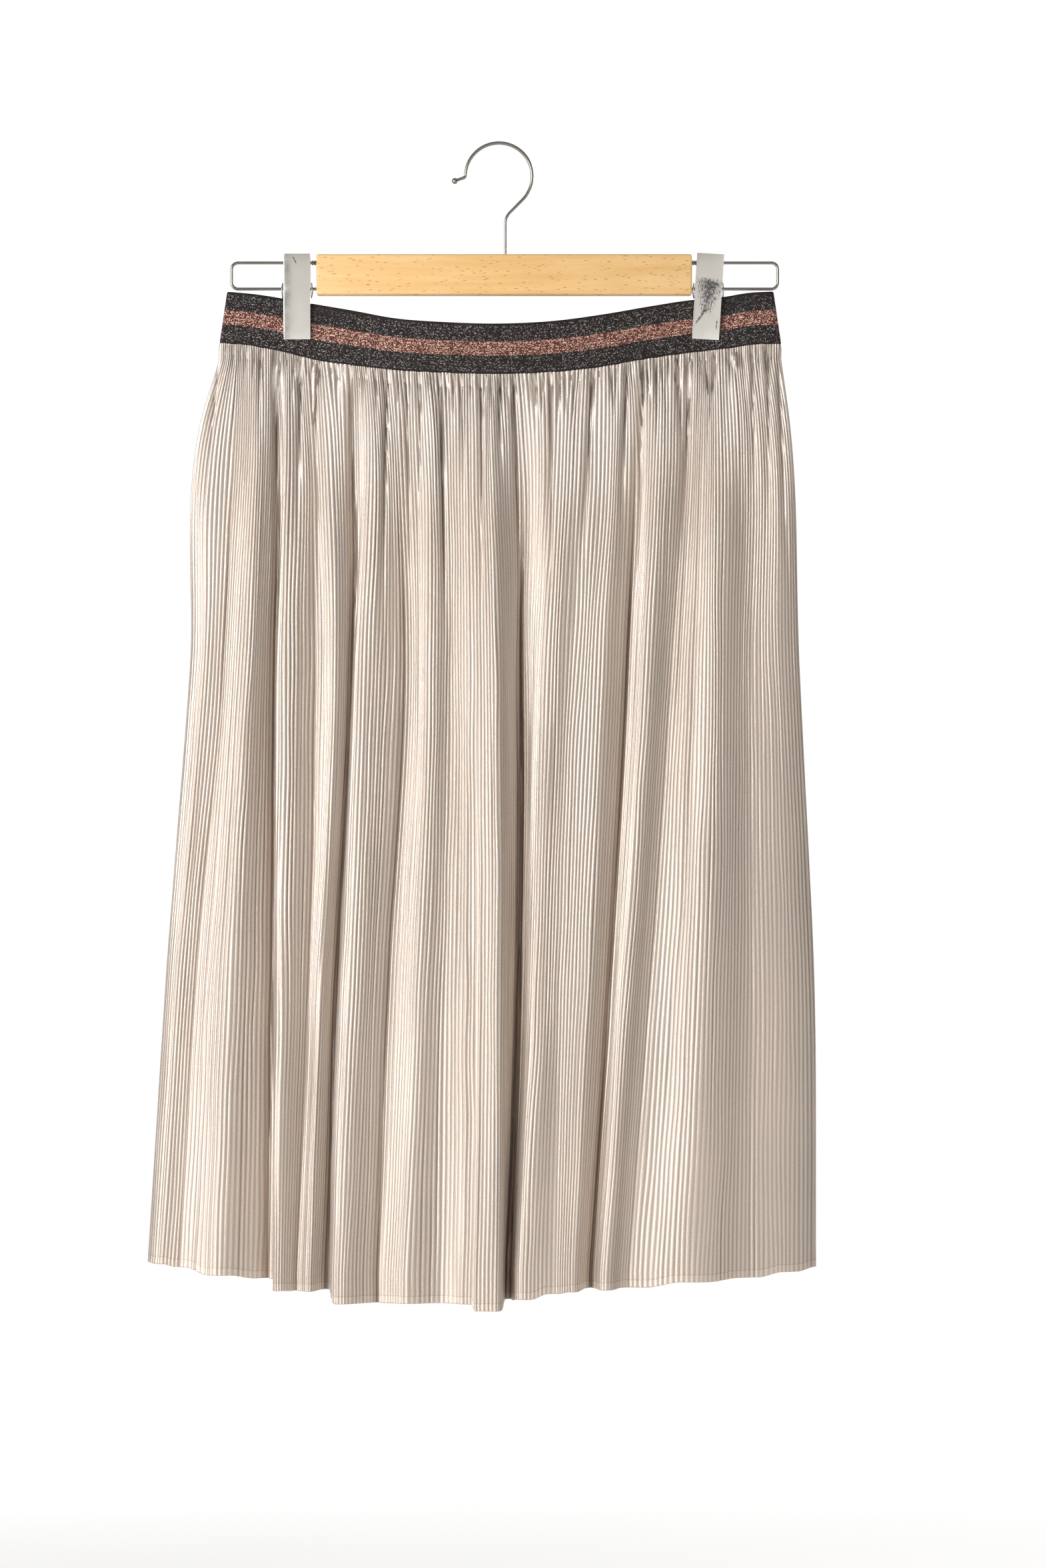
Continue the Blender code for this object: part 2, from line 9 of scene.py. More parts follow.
import bpy
import numpy as np
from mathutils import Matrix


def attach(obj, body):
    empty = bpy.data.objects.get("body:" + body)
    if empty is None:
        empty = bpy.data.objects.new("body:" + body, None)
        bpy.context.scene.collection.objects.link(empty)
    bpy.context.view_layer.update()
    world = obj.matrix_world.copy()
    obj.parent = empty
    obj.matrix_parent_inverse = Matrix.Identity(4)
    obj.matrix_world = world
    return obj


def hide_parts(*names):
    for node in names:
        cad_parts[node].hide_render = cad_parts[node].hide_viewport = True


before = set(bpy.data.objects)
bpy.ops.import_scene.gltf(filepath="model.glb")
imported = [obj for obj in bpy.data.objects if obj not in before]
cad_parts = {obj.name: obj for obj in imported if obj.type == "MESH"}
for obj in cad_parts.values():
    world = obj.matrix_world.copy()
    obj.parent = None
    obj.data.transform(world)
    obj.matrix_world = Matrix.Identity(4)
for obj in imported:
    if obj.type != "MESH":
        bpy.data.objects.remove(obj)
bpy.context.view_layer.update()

body = "root"


# Camera
# The skirt is seen square on from the height of its middle, far enough off that its sides run
# true. The picture is 1.13 m tall where the skirt hangs.
CAMERA_DISTANCE = 3.0
CAMERA_X = 0.0173
CAMERA_Z = -0.4603
PICTURE_HEIGHT = 1.129
SENSOR = 36.0

bpy.ops.object.camera_add(
    location=(CAMERA_X, -CAMERA_DISTANCE, CAMERA_Z), rotation=(math.pi / 2, 0.0, 0.0)
)
camera = bpy.context.object
camera.data.lens = SENSOR * CAMERA_DISTANCE / PICTURE_HEIGHT
bpy.context.scene.camera = camera


# Hook
# One length of hard round wire, bent over to hang on a rail and drawn out to a small ball at its
# tip. It is polished and chrome plated, and its straight stem is seated in a hole in the bar.
MM = 0.001
HOOK_RADIUS = 24.0 * MM
HOOK_X = 0.3 * MM
HOOK_WIRE = 1.25 * MM
STEM_WIRE = 1.0 * MM
TIP_WIRE = 1.1 * MM
HOOK_BALL = 2.2 * MM
TIP_LENGTH = 4.6 * MM
ELBOW_RADIUS = 2.0 * MM
NECK_RADIUS = 12.0 * MM
NECK_FOOT = -57.0 * MM
STEM_X = 5.0 * MM
STEM_FOOT = -99.4 * MM
# Where each bend starts and ends, and the slope of the tip, in degrees
HOOK_BEND = (178, -45)
NECK_BEND = (135, 180)
BALL_BEND = (4, 150)
TIP_SLOPE = 20
HOOK_STEPS = 72
CORNER_STEPS = 12
ELBOW_STEPS = 8
BALL_STEPS = 14
CHROME_COLOR = (0.3, 0.285, 0.265, 1.0)
CHROME_ROUGHNESS = (0.2, 0.3)


def add_node(material, kind, inputs=(), **settings):
    """A new shader node with its settings, and its inputs linked or set."""
    made = material.node_tree.nodes.new("ShaderNode" + kind)
    for name, value in settings.items():
        setattr(made, name, value)
    for name, value in dict(inputs).items():
        if isinstance(value, bpy.types.NodeSocket):
            material.node_tree.links.new(value, made.inputs[name])
        else:
            made.inputs[name].default_value = value
    return made


def link_to(material, shader, **inputs):
    """Links outputs to a shader's inputs, which are named with _ for each space."""
    for name, output in inputs.items():
        material.node_tree.links.new(output, shader.inputs[name.replace("_", " ")])


def math_node(material, operation, first, second=0.0, clamp=False):
    made = add_node(material, "Math", {0: first, 1: second}, operation=operation, use_clamp=clamp)
    return made.outputs[0]


def remap(material, value, low, high, to_low=0.0, to_high=1.0):
    """The value taken from low..high to to_low..to_high, and held there."""
    made = add_node(material, "MapRange", {
        "Value": value, "From Min": low, "From Max": high, "To Min": to_low, "To Max": to_high
    })
    return made.outputs["Result"]


def spread_noise(material, noise, low, high):
    """A noise texture's values, which mostly lie from 0.3 to 0.7, spread from low to high."""
    return remap(material, noise.outputs["Fac"], 0.3, 0.7, low, high)


def new_finish(name, color, roughness, metallic):
    material = bpy.data.materials.new(name)
    material.use_nodes = True
    shader = material.node_tree.nodes["Principled BSDF"]
    shader.inputs["Base Color"].default_value = color
    shader.inputs["Roughness"].default_value = roughness
    shader.inputs["Metallic"].default_value = metallic
    material.diffuse_color = color
    return material, shader


def chrome_finish(name):
    """Plating with a faint haze."""
    material, shader = new_finish(name, CHROME_COLOR, 0.16, 1.0)
    place = add_node(material, "TexCoord").outputs["Object"]
    haze = add_node(material, "TexNoise", {"Vector": place, "Scale": 160.0, "Detail": 3.0})
    link_to(material, shader, Roughness=spread_noise(material, haze, *CHROME_ROUGHNESS))
    return material


def arc(centre, radius, start, end, steps):
    """Points of the XZ plane from the start angle to the end angle, in degrees."""
    turns = np.radians(np.linspace(start, end, steps + 1))
    return [
        (centre[0] + radius * math.cos(turn), 0.0, centre[1] + radius * math.sin(turn))
        for turn in turns
    ]


def bent_wire(name, route, wires, closed=False):
    """A round wire bent along a route, with the wire's radius at each point of it."""
    bpy.ops.object.select_all(action="DESELECT")
    bpy.ops.curve.primitive_nurbs_path_add()
    wire = bpy.context.object
    wire.name = name
    curve = wire.data
    curve.splines.clear()
    spline = curve.splines.new("POLY")
    spline.points.add(len(route) - 1)
    for point, place, radius in zip(spline.points, route, wires):
        point.co = (*place, 1.0)
        point.radius = radius
    spline.use_cyclic_u = closed
    curve.bevel_depth = 1.0
    curve.bevel_resolution = 5
    curve.use_fill_caps = not closed
    bpy.ops.object.convert(target="MESH")
    bpy.ops.object.mode_set(mode="EDIT")
    bpy.ops.mesh.select_all(action="SELECT")
    bpy.ops.mesh.remove_doubles(threshold=0.001 * MM)
    bpy.ops.mesh.normals_make_consistent(inside=False)
    bpy.ops.object.mode_set(mode="OBJECT")
    bpy.ops.object.shade_smooth_by_angle(angle=math.radians(50))
    return wire


def finish_piece(piece, material, slot, *nodes):
    """The piece takes its finish, rides on the part's one body, and stands for these nodes."""
    piece.data.materials.clear()
    piece.data.materials.append(material)
    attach(piece, body)
    if nodes:
        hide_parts(*nodes)


def hook_route():
    """The hook from its ball to its foot: the points and the wire's radius at each."""
    bend = arc((HOOK_X, HOOK_WIRE - HOOK_RADIUS), HOOK_RADIUS, *HOOK_BEND, HOOK_STEPS)
    elbow_centre = (bend[0][0] - ELBOW_RADIUS, bend[0][2])
    elbow = arc(elbow_centre, ELBOW_RADIUS, TIP_SLOPE - 90, 0, ELBOW_STEPS)
    slope = math.radians(TIP_SLOPE)
    along = np.array((math.cos(slope), 0.0, math.sin(slope)))
    ball_centre = np.array(elbow[0]) - (TIP_LENGTH + HOOK_BALL) * along
    ball_turns = np.radians(np.linspace(*BALL_BEND, BALL_STEPS))
    ball = [tuple(ball_centre - HOOK_BALL * math.cos(turn) * along) for turn in ball_turns]
    ball_wire = [HOOK_BALL * math.sin(turn) for turn in ball_turns]
    neck = arc((STEM_X + NECK_RADIUS, NECK_FOOT), NECK_RADIUS, *NECK_BEND, CORNER_STEPS)
    bend_turn = np.linspace(0.0, math.pi, len(bend))
    bend_wire = list(TIP_WIRE + (HOOK_WIRE - TIP_WIRE) * np.sin(bend_turn))
    route = ball + elbow + bend[1:] + neck + [(STEM_X, 0.0, STEM_FOOT)]
    wires = ball_wire + [TIP_WIRE] * len(elbow) + bend_wire[1:] + [STEM_WIRE] * (len(neck) + 1)
    return route, wires


chrome = chrome_finish("chrome_wire")
hook_piece = bent_wire("hook_wire", *hook_route())
finish_piece(hook_piece, chrome, "chrome", "hook")


# Bar
# A straight slat of steamed beech with its edges eased, drilled from its ends for the wire loops
# and from its top for the hook. It is sanded and clear lacquered, and its flecks show as dashes.
WOOD_LIGHT = (0.87, 0.575, 0.26, 1.0)
WOOD_WARM = (0.79, 0.475, 0.175, 1.0)
WOOD_FLECK = (0.42, 0.2, 0.07, 1.0)
# How close the grain and the flecks lie, along X, Y and Z, and how the flecks lean
GRAIN_SCALE = (9.0, 60.0, 110.0)
FLECK_SCALE = (170.0, 400.0, 900.0)
FLECK_LEAN = math.radians(-28)
# How far from its middle a fleck has gone and is whole, and the same two for its random chance
FLECK_FADE = (0.3, 0.17)
FLECK_CHANCE = (0.5, 0.7)
FLECK_SHARE = 0.85
PORE_DEPTH = 0.6
LACQUER_ROUGHNESS = (0.36, 0.52)


def mix_colors(material, share, first, second):
    made = add_node(material, "Mix", {0: share, 6: first, 7: second}, data_type="RGBA")
    return made.outputs[2]


def tint_where(material, mask, share, color, other):
    """The color, with this share of the other color where the mask is 1."""
    return mix_colors(material, math_node(material, "MULTIPLY", mask, share), color, other)


def beech_finish():
    """Pale wood in long grain, with a darker dash at each fleck, under thin lacquer."""
    material, shader = new_finish("lacquered_beech", WOOD_LIGHT, 0.42, 0.0)
    shader.inputs["Coat Weight"].default_value = 0.15
    shader.inputs["Coat Roughness"].default_value = 0.3
    place = add_node(material, "TexCoord").outputs["Object"]
    along = add_node(material, "Mapping", {"Vector": place, "Scale": GRAIN_SCALE})
    grain = add_node(material, "TexNoise", {"Vector": along.outputs[0], "Scale": 1.5, "Detail": 4.0})
    wood = mix_colors(
        material, remap(material, grain.outputs["Fac"], 0.35, 0.7), WOOD_LIGHT, WOOD_WARM
    )
    leaning = add_node(material, "Mapping", {
        "Vector": place, "Rotation": (0.0, FLECK_LEAN, 0.0), "Scale": FLECK_SCALE
    })
    flecks = add_node(material, "TexVoronoi", {"Vector": leaning.outputs[0], "Scale": 1.0})
    dash = remap(material, flecks.outputs["Distance"], *FLECK_FADE)
    chance = add_node(material, "SeparateColor", {"Color": flecks.outputs["Color"]}).outputs[0]
    dash = math_node(material, "MULTIPLY", dash, remap(material, chance, *FLECK_CHANCE))
    wood = tint_where(material, dash, FLECK_SHARE, wood, WOOD_FLECK)
    pores = math_node(material, "MULTIPLY", dash, -PORE_DEPTH)
    height = math_node(material, "ADD", grain.outputs["Fac"], pores)
    bump = add_node(material, "Bump", {"Strength": 0.25, "Distance": 0.12 * MM, "Height": height})
    link_to(
        material, shader,
        Base_Color=wood,
        Roughness=spread_noise(material, grain, *LACQUER_ROUGHNESS),
        Normal=bump.outputs[0],
    )
    return material


def eased_copy(node_name, name, width):
    """A copy of a pressed or cut piece, its triangles joined up and its edges eased by the width."""
    bpy.ops.object.select_all(action="DESELECT")
    piece = bpy.data.objects.new(name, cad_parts[node_name].data.copy())
    bpy.context.scene.collection.objects.link(piece)
    bpy.context.view_layer.objects.active = piece
    piece.select_set(True)
    bpy.ops.object.mode_set(mode="EDIT")
    bpy.ops.mesh.select_all(action="SELECT")
    bpy.ops.mesh.remove_doubles(threshold=0.002 * MM)
    bpy.ops.mesh.dissolve_limited(angle_limit=math.radians(1.0))
    bpy.ops.object.mode_set(mode="OBJECT")
    if width:
        bevel = piece.modifiers.new("Eased edges", "BEVEL")
        bevel.width = width
        bevel.segments = 3
        bevel.limit_method = "ANGLE"
        bevel.angle_limit = math.radians(50)
        bpy.ops.object.modifier_apply(modifier=bevel.name)
    bpy.ops.object.shade_smooth_by_angle(angle=math.radians(35))
    return piece


bar = eased_copy("hanger_bar", "beech_bar", 0.0)
finish_piece(bar, beech_finish(), "beech", "hanger_bar")


# Wire loops
# Two bends of thinner chromed wire, pushed into the bar's ends and pinned there. The clips slide
# along them, and two short swaged collars on each upper run keep the clip off the bar.
RAIL_WIRE = 1.1 * MM
RAIL_TOP = -85.1 * MM
RAIL_BOTTOM = -103.9 * MM
RAIL_ENDS = {"left": -192.1 * MM, "right": 201.2 * MM}
RAIL_CORNER = 4.6 * MM
RAIL_SEAT = 12.0 * MM
BAR_ENDS = {"left": -130.9 * MM, "right": 139.2 * MM}
COLLAR_RADIUS = 1.75 * MM
COLLAR_LENGTH = 1.6 * MM
COLLAR_OFF_BAR = 0.3 * MM
COLLAR_GAP = 0.2 * MM
# A collar is swaged narrower at both its ends
COLLAR_SECTION = (0.72, 0.95, 1.0, 0.95, 0.72)


def rail_route(side):
    """Out of the bar along the top, round the loop's end, and back in below."""
    end = RAIL_ENDS[side]
    outward = math.copysign(1.0, end)
    inner = BAR_ENDS[side] - outward * RAIL_SEAT
    turn = end - outward * RAIL_CORNER
    side_on = 90 - 90 * outward
    downward = side_on - 90 * outward
    upper = arc((turn, RAIL_TOP - RAIL_CORNER), RAIL_CORNER, 90, side_on, CORNER_STEPS)
    lower = arc((turn, RAIL_BOTTOM + RAIL_CORNER), RAIL_CORNER, side_on, downward, CORNER_STEPS)
    return [(inner, 0.0, RAIL_TOP)] + upper + lower + [(inner, 0.0, RAIL_BOTTOM)]


for side, bar_end in BAR_ENDS.items():
    route = rail_route(side)
    loop = bent_wire("loop_" + side, route, [RAIL_WIRE] * len(route))
    finish_piece(loop, chrome, "chrome", "rail_" + side)
    outward = math.copysign(1.0, bar_end)
    for step in range(2):
        near = bar_end + outward * (COLLAR_OFF_BAR + step * (COLLAR_LENGTH + COLLAR_GAP))
        places = np.linspace(near, near + outward * COLLAR_LENGTH, len(COLLAR_SECTION))
        swage = [(x, 0.0, RAIL_TOP) for x in places]
        radii = [COLLAR_RADIUS * share for share in COLLAR_SECTION]
        collar = bent_wire(f"collar_{side}_{step + 1}", swage, radii)
        finish_piece(collar, chrome, "chrome")


# Clips
# Each clip is two plates pressed from sheet steel and chrome plated, with ears that turn on the
# lower wire. The left front plate has one small dull mark, and the right one has three patches.
CLIP_PLACES = {"left": -144.9 * MM, "right": 151.1 * MM}
CLIP_WIDTH = 19.4 * MM
PLATE_EDGE = 0.55 * MM
PLATE_COLOR = (0.97, 0.955, 0.91, 1.0)
DULL_COLOR = (0.15, 0.155, 0.17, 1.0)
PLATE_ROUGHNESS = (0.16, 0.27)
# The dull marks on each plate. A row is a mark's x and z, its turn in degrees, its half width and
# half length, and the share of the width that is left at its lower end.
PLATE_MARKS = {
    ("left", "front"): (
        (-146.4, -84.0, -30, 0.6, 2.6, 0.5),
    ),
    ("right", "front"): (
        (150.8, -109.5, 9, 9.5, 12.5, 0.3),
        (145.2, -124.5, 33, 1.6, 7.2, 0.25),
        (156.9, -130.3, 6, 0.5, 3.2, 0.6),
    ),
}
# Where a mark tapers and where its sides and its ends fade, in its own half widths and half
# lengths, and how strong it is where its streaks are whole
MARK_TAPER = (-1.0, 0.9)
MARK_SIDE_FADE = (0.2, -0.75)
MARK_END_FADE = (1.05, 0.8)
MARK_RIM = 0.15
# A mark breaks up in streaks: how close they lie across and along it, which part of their noise
# shows, and how much more of it shows in the middle of the mark
STREAKS_ACROSS = 1.1
STREAKS_ALONG = 0.4
STREAK_SPAN = (0.52, 0.62)
STREAK_GAIN = 0.14


def dull_mark(material, place, x, z, turn, across, along, narrow):
    """From 0 to 1, how dull one mark leaves the plate: it narrows downwards and is streaky."""
    local = add_node(material, "Mapping", {
        "Vector": place, "Location": (x * MM, 0.0, z * MM),
        "Rotation": (0.0, math.radians(turn), 0.0), "Scale": (across * MM, 1.0, along * MM)
    }, vector_type="TEXTURE").outputs[0]
    parts = add_node(material, "SeparateXYZ", {"Vector": local})
    width = remap(material, parts.outputs["Z"], *MARK_TAPER, narrow, 1.0)
    off_middle = math_node(material, "ABSOLUTE", parts.outputs["X"])
    off_side = math_node(material, "SUBTRACT", off_middle, width)
    off_centre = math_node(material, "ABSOLUTE", parts.outputs["Z"])
    ends = remap(material, off_centre, *MARK_END_FADE)
    mark = math_node(material, "MULTIPLY", remap(material, off_side, *MARK_SIDE_FADE), ends)
    streaks = add_node(material, "Mapping", {
        "Vector": local, "Scale": (across * STREAKS_ACROSS, 1.0, along * STREAKS_ALONG)
    })
    mottle = add_node(material, "TexNoise", {
        "Vector": streaks.outputs[0], "Scale": 1.0, "Detail": 6.0, "Roughness": 0.78
    })
    gain = math_node(material, "MULTIPLY", mark, STREAK_GAIN)
    patchy = math_node(material, "ADD", mottle.outputs["Fac"], gain)
    patches = remap(material, patchy, *STREAK_SPAN)
    return math_node(material, "MULTIPLY", patches, remap(material, mark, 0.0, MARK_RIM))


def plate_finish(side, face):
    """Flat plating, with mottled marks where it has dulled."""
    material, shader = new_finish(f"chrome_plate_{side}_{face}", PLATE_COLOR, 0.2, 1.0)
    place = add_node(material, "TexCoord").outputs["Object"]
    haze = add_node(material, "TexNoise", {"Vector": place, "Scale": 90.0, "Detail": 2.0})
    link_to(material, shader, Roughness=spread_noise(material, haze, *PLATE_ROUGHNESS))
    dull = 0.0
    for mark in PLATE_MARKS.get((side, face), ()):
        dull = math_node(material, "MAXIMUM", dull_mark(material, place, *mark), dull)
    if not dull:
        return material
    link_to(material, shader, Base_Color=mix_colors(material, dull, PLATE_COLOR, DULL_COLOR))
    return material


for side in CLIP_PLACES:
    for face in ("front", "back"):
        cad_node = f"clip_{side}_{face}"
        plate = eased_copy(cad_node, f"plate_{side}_{face}", PLATE_EDGE)
        finish_piece(plate, plate_finish(side, face), "chrome", cad_node)


# Clip springs
# A coil of thin spring steel is wound round the lower wire inside each clip. Its two legs press
# the plates apart above the wire, and a thin steel washer stands outside each ear.
SPRING_WIRE = 0.45 * MM
SPRING_COIL = 2.45 * MM
SPRING_TURNS = 9
SPRING_LENGTH = 11.6 * MM
SPRING_START = math.radians(75)
SPRING_LEG = 15.0 * MM
LEG_RISE = 0.75 * SPRING_LEG
LEG_BACK = 0.18 * SPRING_LEG
LEG_FRONT = 0.34 * SPRING_LEG
STEPS_A_TURN = 16
# A washer is a little taller than it is wide, and warped so that its edge waves
WASHER_RADIUS = 4.6 * MM
WASHER_STRETCH = 1.15
WASHER_WARP = 0.25 * MM
WASHER_WIRE = 0.42 * MM
WASHER_DROP = 1.2 * MM
WASHER_OFF_CLIP = 0.9 * MM
WASHER_STEPS = 32
STEEL_COLOR = (0.42, 0.41, 0.4, 1.0)
STEEL_ROUGHNESS = (0.2, 0.45)

steel, steel_shader = new_finish("spring_steel", STEEL_COLOR, 0.3, 1.0)
steel_place = add_node(steel, "TexCoord").outputs["Object"]
steel_film = add_node(steel, "TexNoise", {"Vector": steel_place, "Scale": 400.0, "Detail": 2.0})
link_to(steel, steel_shader, Roughness=spread_noise(steel, steel_film, *STEEL_ROUGHNESS))

for side, clip_x in CLIP_PLACES.items():
    turns = np.linspace(0.0, SPRING_TURNS * 2 * math.pi, SPRING_TURNS * STEPS_A_TURN + 1)
    coil = [
        (
            clip_x - SPRING_LENGTH / 2 + SPRING_LENGTH * turn / turns[-1],
            SPRING_COIL * math.cos(SPRING_START + turn),
            RAIL_BOTTOM + SPRING_COIL * math.sin(SPRING_START + turn),
        )
        for turn in turns
    ]
    first, last = coil[0], coil[-1]
    leg_back = (first[0], first[1] + LEG_BACK, first[2] + LEG_RISE)
    leg_front = (last[0], last[1] - LEG_FRONT, last[2] + LEG_RISE)
    route = [leg_back] + coil + [leg_front]
    spring = bent_wire("spring_" + side, route, [SPRING_WIRE] * len(route))
    finish_piece(spring, steel, "chrome", f"clip_{side}_spring")
    for hand, toward in (("in", -1.0), ("out", 1.0)):
        ring_x = clip_x + toward * (CLIP_WIDTH / 2 + WASHER_OFF_CLIP)
        ring = [
            (
                ring_x + toward * WASHER_WARP * math.cos(2 * turn),
                WASHER_RADIUS * math.cos(turn),
                RAIL_BOTTOM - WASHER_DROP + WASHER_STRETCH * WASHER_RADIUS * math.sin(turn),
            )
            for turn in np.linspace(0.0, 2 * math.pi, WASHER_STEPS + 1)[:-1]
        ]
        washer = bent_wire(f"washer_{side}_{hand}", ring, [WASHER_WIRE] * len(ring), closed=True)
        finish_piece(washer, steel, "chrome")


# Waistband
# One ring of firm woven elastic, black with a copper stripe and shot through with glitter yarn.
# The clips pinch it flat and it hangs a little open between them. Its selvedges are plain.
WAIST_COLUMNS = ("x", "top", "bottom", "open_top", "open_bottom")
WAIST = (
    (-194.7, -106.1, -143.2, 1.7, 2.6),
    (-176.0, -107.8, -144.9, 1.8, 2.8),
    (-157.0, -110.6, -148.6, 1.0, 1.5),
    (-145.0, -112.8, -151.4, 0.92, 1.3),
    (-133.0, -114.8, -154.6, 1.0, 1.5),
    (-104.0, -120.0, -159.5, 3.6, 4.8),
    (-75.0, -125.6, -163.2, 6.6, 8.2),
    (-40.0, -128.6, -165.3, 9.0, 10.6),
    (1.0, -129.8, -166.2, 10.0, 11.6),
    (40.0, -127.8, -164.8, 9.0, 10.6),
    (77.0, -122.6, -160.4, 6.6, 8.2),
    (110.0, -116.6, -154.2, 3.4, 4.6),
    (139.0, -112.0, -149.9, 1.0, 1.5),
    (151.0, -111.0, -148.5, 0.92, 1.3),
    (163.0, -109.6, -146.8, 1.0, 1.5),
    (180.0, -106.9, -144.2, 1.8, 2.8),
    (197.4, -105.9, -143.9, 1.7, 2.6),
)
BAND_WALL = 1.5 * MM
BAND_HEIGHT = 37.0 * MM
BAND_FLARE = 5.5 * MM
BAND_COLUMNS = 340
END_ROUND = 2.4 * MM
# Down the band, from its top edge to its lower one, and how thick it is there
BAND_ROWS = (
    0.0, 0.008, 0.025, 0.09, 0.18, 0.27, 0.36, 0.45, 0.54, 0.63, 0.72, 0.81, 0.9, 0.96, 0.985, 1.0,
)
BAND_FULLNESS = (0.3, 0.72, 0.95, 1, 1, 1, 1, 1, 1, 1, 1, 1, 1, 0.95, 0.75, 0.35)
# The gathers below push the band's lower edge in and out
BAND_RIPPLE = 0.3 * MM
BAND_RIPPLES = 130
BAND_SEED = 5
STRIPE = (0.355, 0.635)
STRIPE_EDGE = 0.006
SELVEDGE = 0.045
BLACK_YARN = (0.013, 0.0095, 0.009, 1.0)
GLITTER = (0.8, 0.72, 0.69, 1.0)
COPPER_YARN = (0.1, 0.03, 0.025, 1.0)
COPPER_GLITTER = (1.0, 0.66, 0.5, 1.0)
GLITTER_CELL = 0.78 * MM
# The share of the stitches that have no spark, and the share that have less than a whole one
BLACK_CHANCE = (0.62, 0.82)
STRIPE_CHANCE = (0.42, 0.55)
SPARK_FADE = (0.5, 0.3)
WEFT_ROW = 2.3 * MM
# The smallest share of its light that a spark has, at random and between two rows of the weft
DIMMEST_SPARK = 0.25
BETWEEN_ROWS = 0.45
# Beside each clip the elastic turns away from the light, and that is painted in as shade: how far
# down, by the distance from the clip
TURNED_COLUMNS = ("beyond", "down")
TURNED = ((0, 0.62), (4, 0.42), (12, 0.22), (25, 0.13), (60, 0.05))
TURNED_SHADE = 0.6
TURNED_EDGE = 0.12


def column(table, names, name):
    """One named column of a table, as it is written."""
    return np.array([row[names.index(name)] for row in table])


def smooth_through(knots, values, at):
    """A smooth curve through the values at the knots, read at each place in at."""
    slopes = np.gradient(values, knots)
    at = np.clip(at, knots[0], knots[-1])
    index = np.clip(np.searchsorted(knots, at, side="right") - 1, 0, len(knots) - 2)
    width = knots[index + 1] - knots[index]
    u = (at - knots[index]) / width
    return (
        values[index] * (1 - 3 * u**2 + 2 * u**3)
        + values[index + 1] * (3 * u**2 - 2 * u**3)
        + slopes[index] * width * (u - 2 * u**2 + u**3)
        + slopes[index + 1] * width * (u**3 - u**2)
    )


def end_cap(from_left, from_right):
    """How much of its depth a flattened loop has this near its ends, where it folds round."""
    near = np.clip(np.minimum(from_left, from_right) / END_ROUND, 0.0, 1.0)
    return np.sqrt(1 - (1 - near) ** 2)


def band_line(x, down):
    """The waistband's front as x, y and z, at places along its top edge, from 0 to 1 down."""
    station = column(WAIST, WAIST_COLUMNS, "x") * MM
    top, bottom, open_top, open_bottom = (
        smooth_through(station, column(WAIST, WAIST_COLUMNS, name) * MM, x)
        for name in WAIST_COLUMNS[1:]
    )
    middle = (station[0] + station[-1]) / 2
    across = (x - middle) / (station[-1] - middle)
    depth = (open_top + (open_bottom - open_top) * down**2) * end_cap(x - station[0], station[-1] - x)
    return x + BAND_FLARE * across**3 * down, -depth, top + (bottom - top) * down


def band_stations(count):
    """Places along the waistband's front: close together round its ends, and even between."""
    left, right = WAIST[0][0] * MM, WAIST[-1][0] * MM
    turn = END_ROUND * (1 - np.cos(np.radians((0, 15, 30, 45, 60, 75))))
    even = np.linspace(left + END_ROUND, right - END_ROUND, count - 2 * len(turn) + 1)
    return np.concatenate([left + turn, even, (right - turn)[::-1]])


def wall_normals(line, closed):
    """The unit normal at each point of a line in plan, to the right of the way that it runs."""
    if closed:
        along = np.roll(line, -1, axis=0) - np.roll(line, 1, axis=0)
    else:
        along = np.gradient(line, axis=0)
    along /= np.linalg.norm(along, axis=1, keepdims=True)
    return np.stack([along[:, 1], -along[:, 0]], axis=1)


def soft_noise(seed, across, down, across_cells, down_cells):
    """Random values from -1 to 1, smooth over a cloth whose sides run from 0 to 1."""
    grid = np.random.default_rng(seed).uniform(-1.0, 1.0, (down_cells + 1, across_cells + 1))
    places = np.clip(across, 0.0, 1.0) * across_cells
    left = np.minimum(places.astype(int), across_cells - 1)
    s = places - left
    s = s * s * (3 - 2 * s)
    place = min(max(down, 0.0), 1.0) * down_cells
    upper = min(int(place), down_cells - 1)
    t = place - upper
    t = t * t * (3 - 2 * t)
    above = grid[upper, left] * (1 - s) + grid[upper, left + 1] * s
    below = grid[upper + 1, left] * (1 - s) + grid[upper + 1, left + 1] * s
    return above * (1 - t) + below * t


def cloth_object(name, points, faces, cloth_uv, **values):
    """A smooth mesh with a UV map in metres of cloth, and named values at its points."""
    mesh = bpy.data.meshes.new(name)
    mesh.from_pydata(points.tolist(), [], faces)
    mesh.polygons.foreach_set("use_smooth", [True] * len(mesh.polygons))
    corner_points = np.empty(len(mesh.loops), int)
    mesh.loops.foreach_get("vertex_index", corner_points)
    layer = mesh.uv_layers.new(name="cloth")
    layer.data.foreach_set("uv", cloth_uv[corner_points].ravel())
    for value_name, value in values.items():
        attribute = mesh.attributes.new(value_name, "FLOAT", "POINT")
        attribute.data.foreach_set("value", value.astype(np.float32))
    mesh.update()
    piece = bpy.data.objects.new(name, mesh)
    bpy.context.scene.collection.objects.link(piece)
    return piece


def clip_painted_shade(x, down):
    """From 0 to 1, the painted shade where the elastic turns from the light, at places along its
    front.
    """
    beyond = column(TURNED, TURNED_COLUMNS, "beyond") * MM
    depth = column(TURNED, TURNED_COLUMNS, "down")
    deepest = np.zeros(len(x))
    for clip_x in CLIP_PLACES.values():
        past = x - clip_x - CLIP_WIDTH / 2
        here = np.where(past > -CLIP_WIDTH, np.interp(past, beyond, depth, right=0.0), 0.0)
        deepest = np.maximum(deepest, here)
    return TURNED_SHADE * np.clip((deepest - down) / TURNED_EDGE + 0.5, 0.0, 1.0)


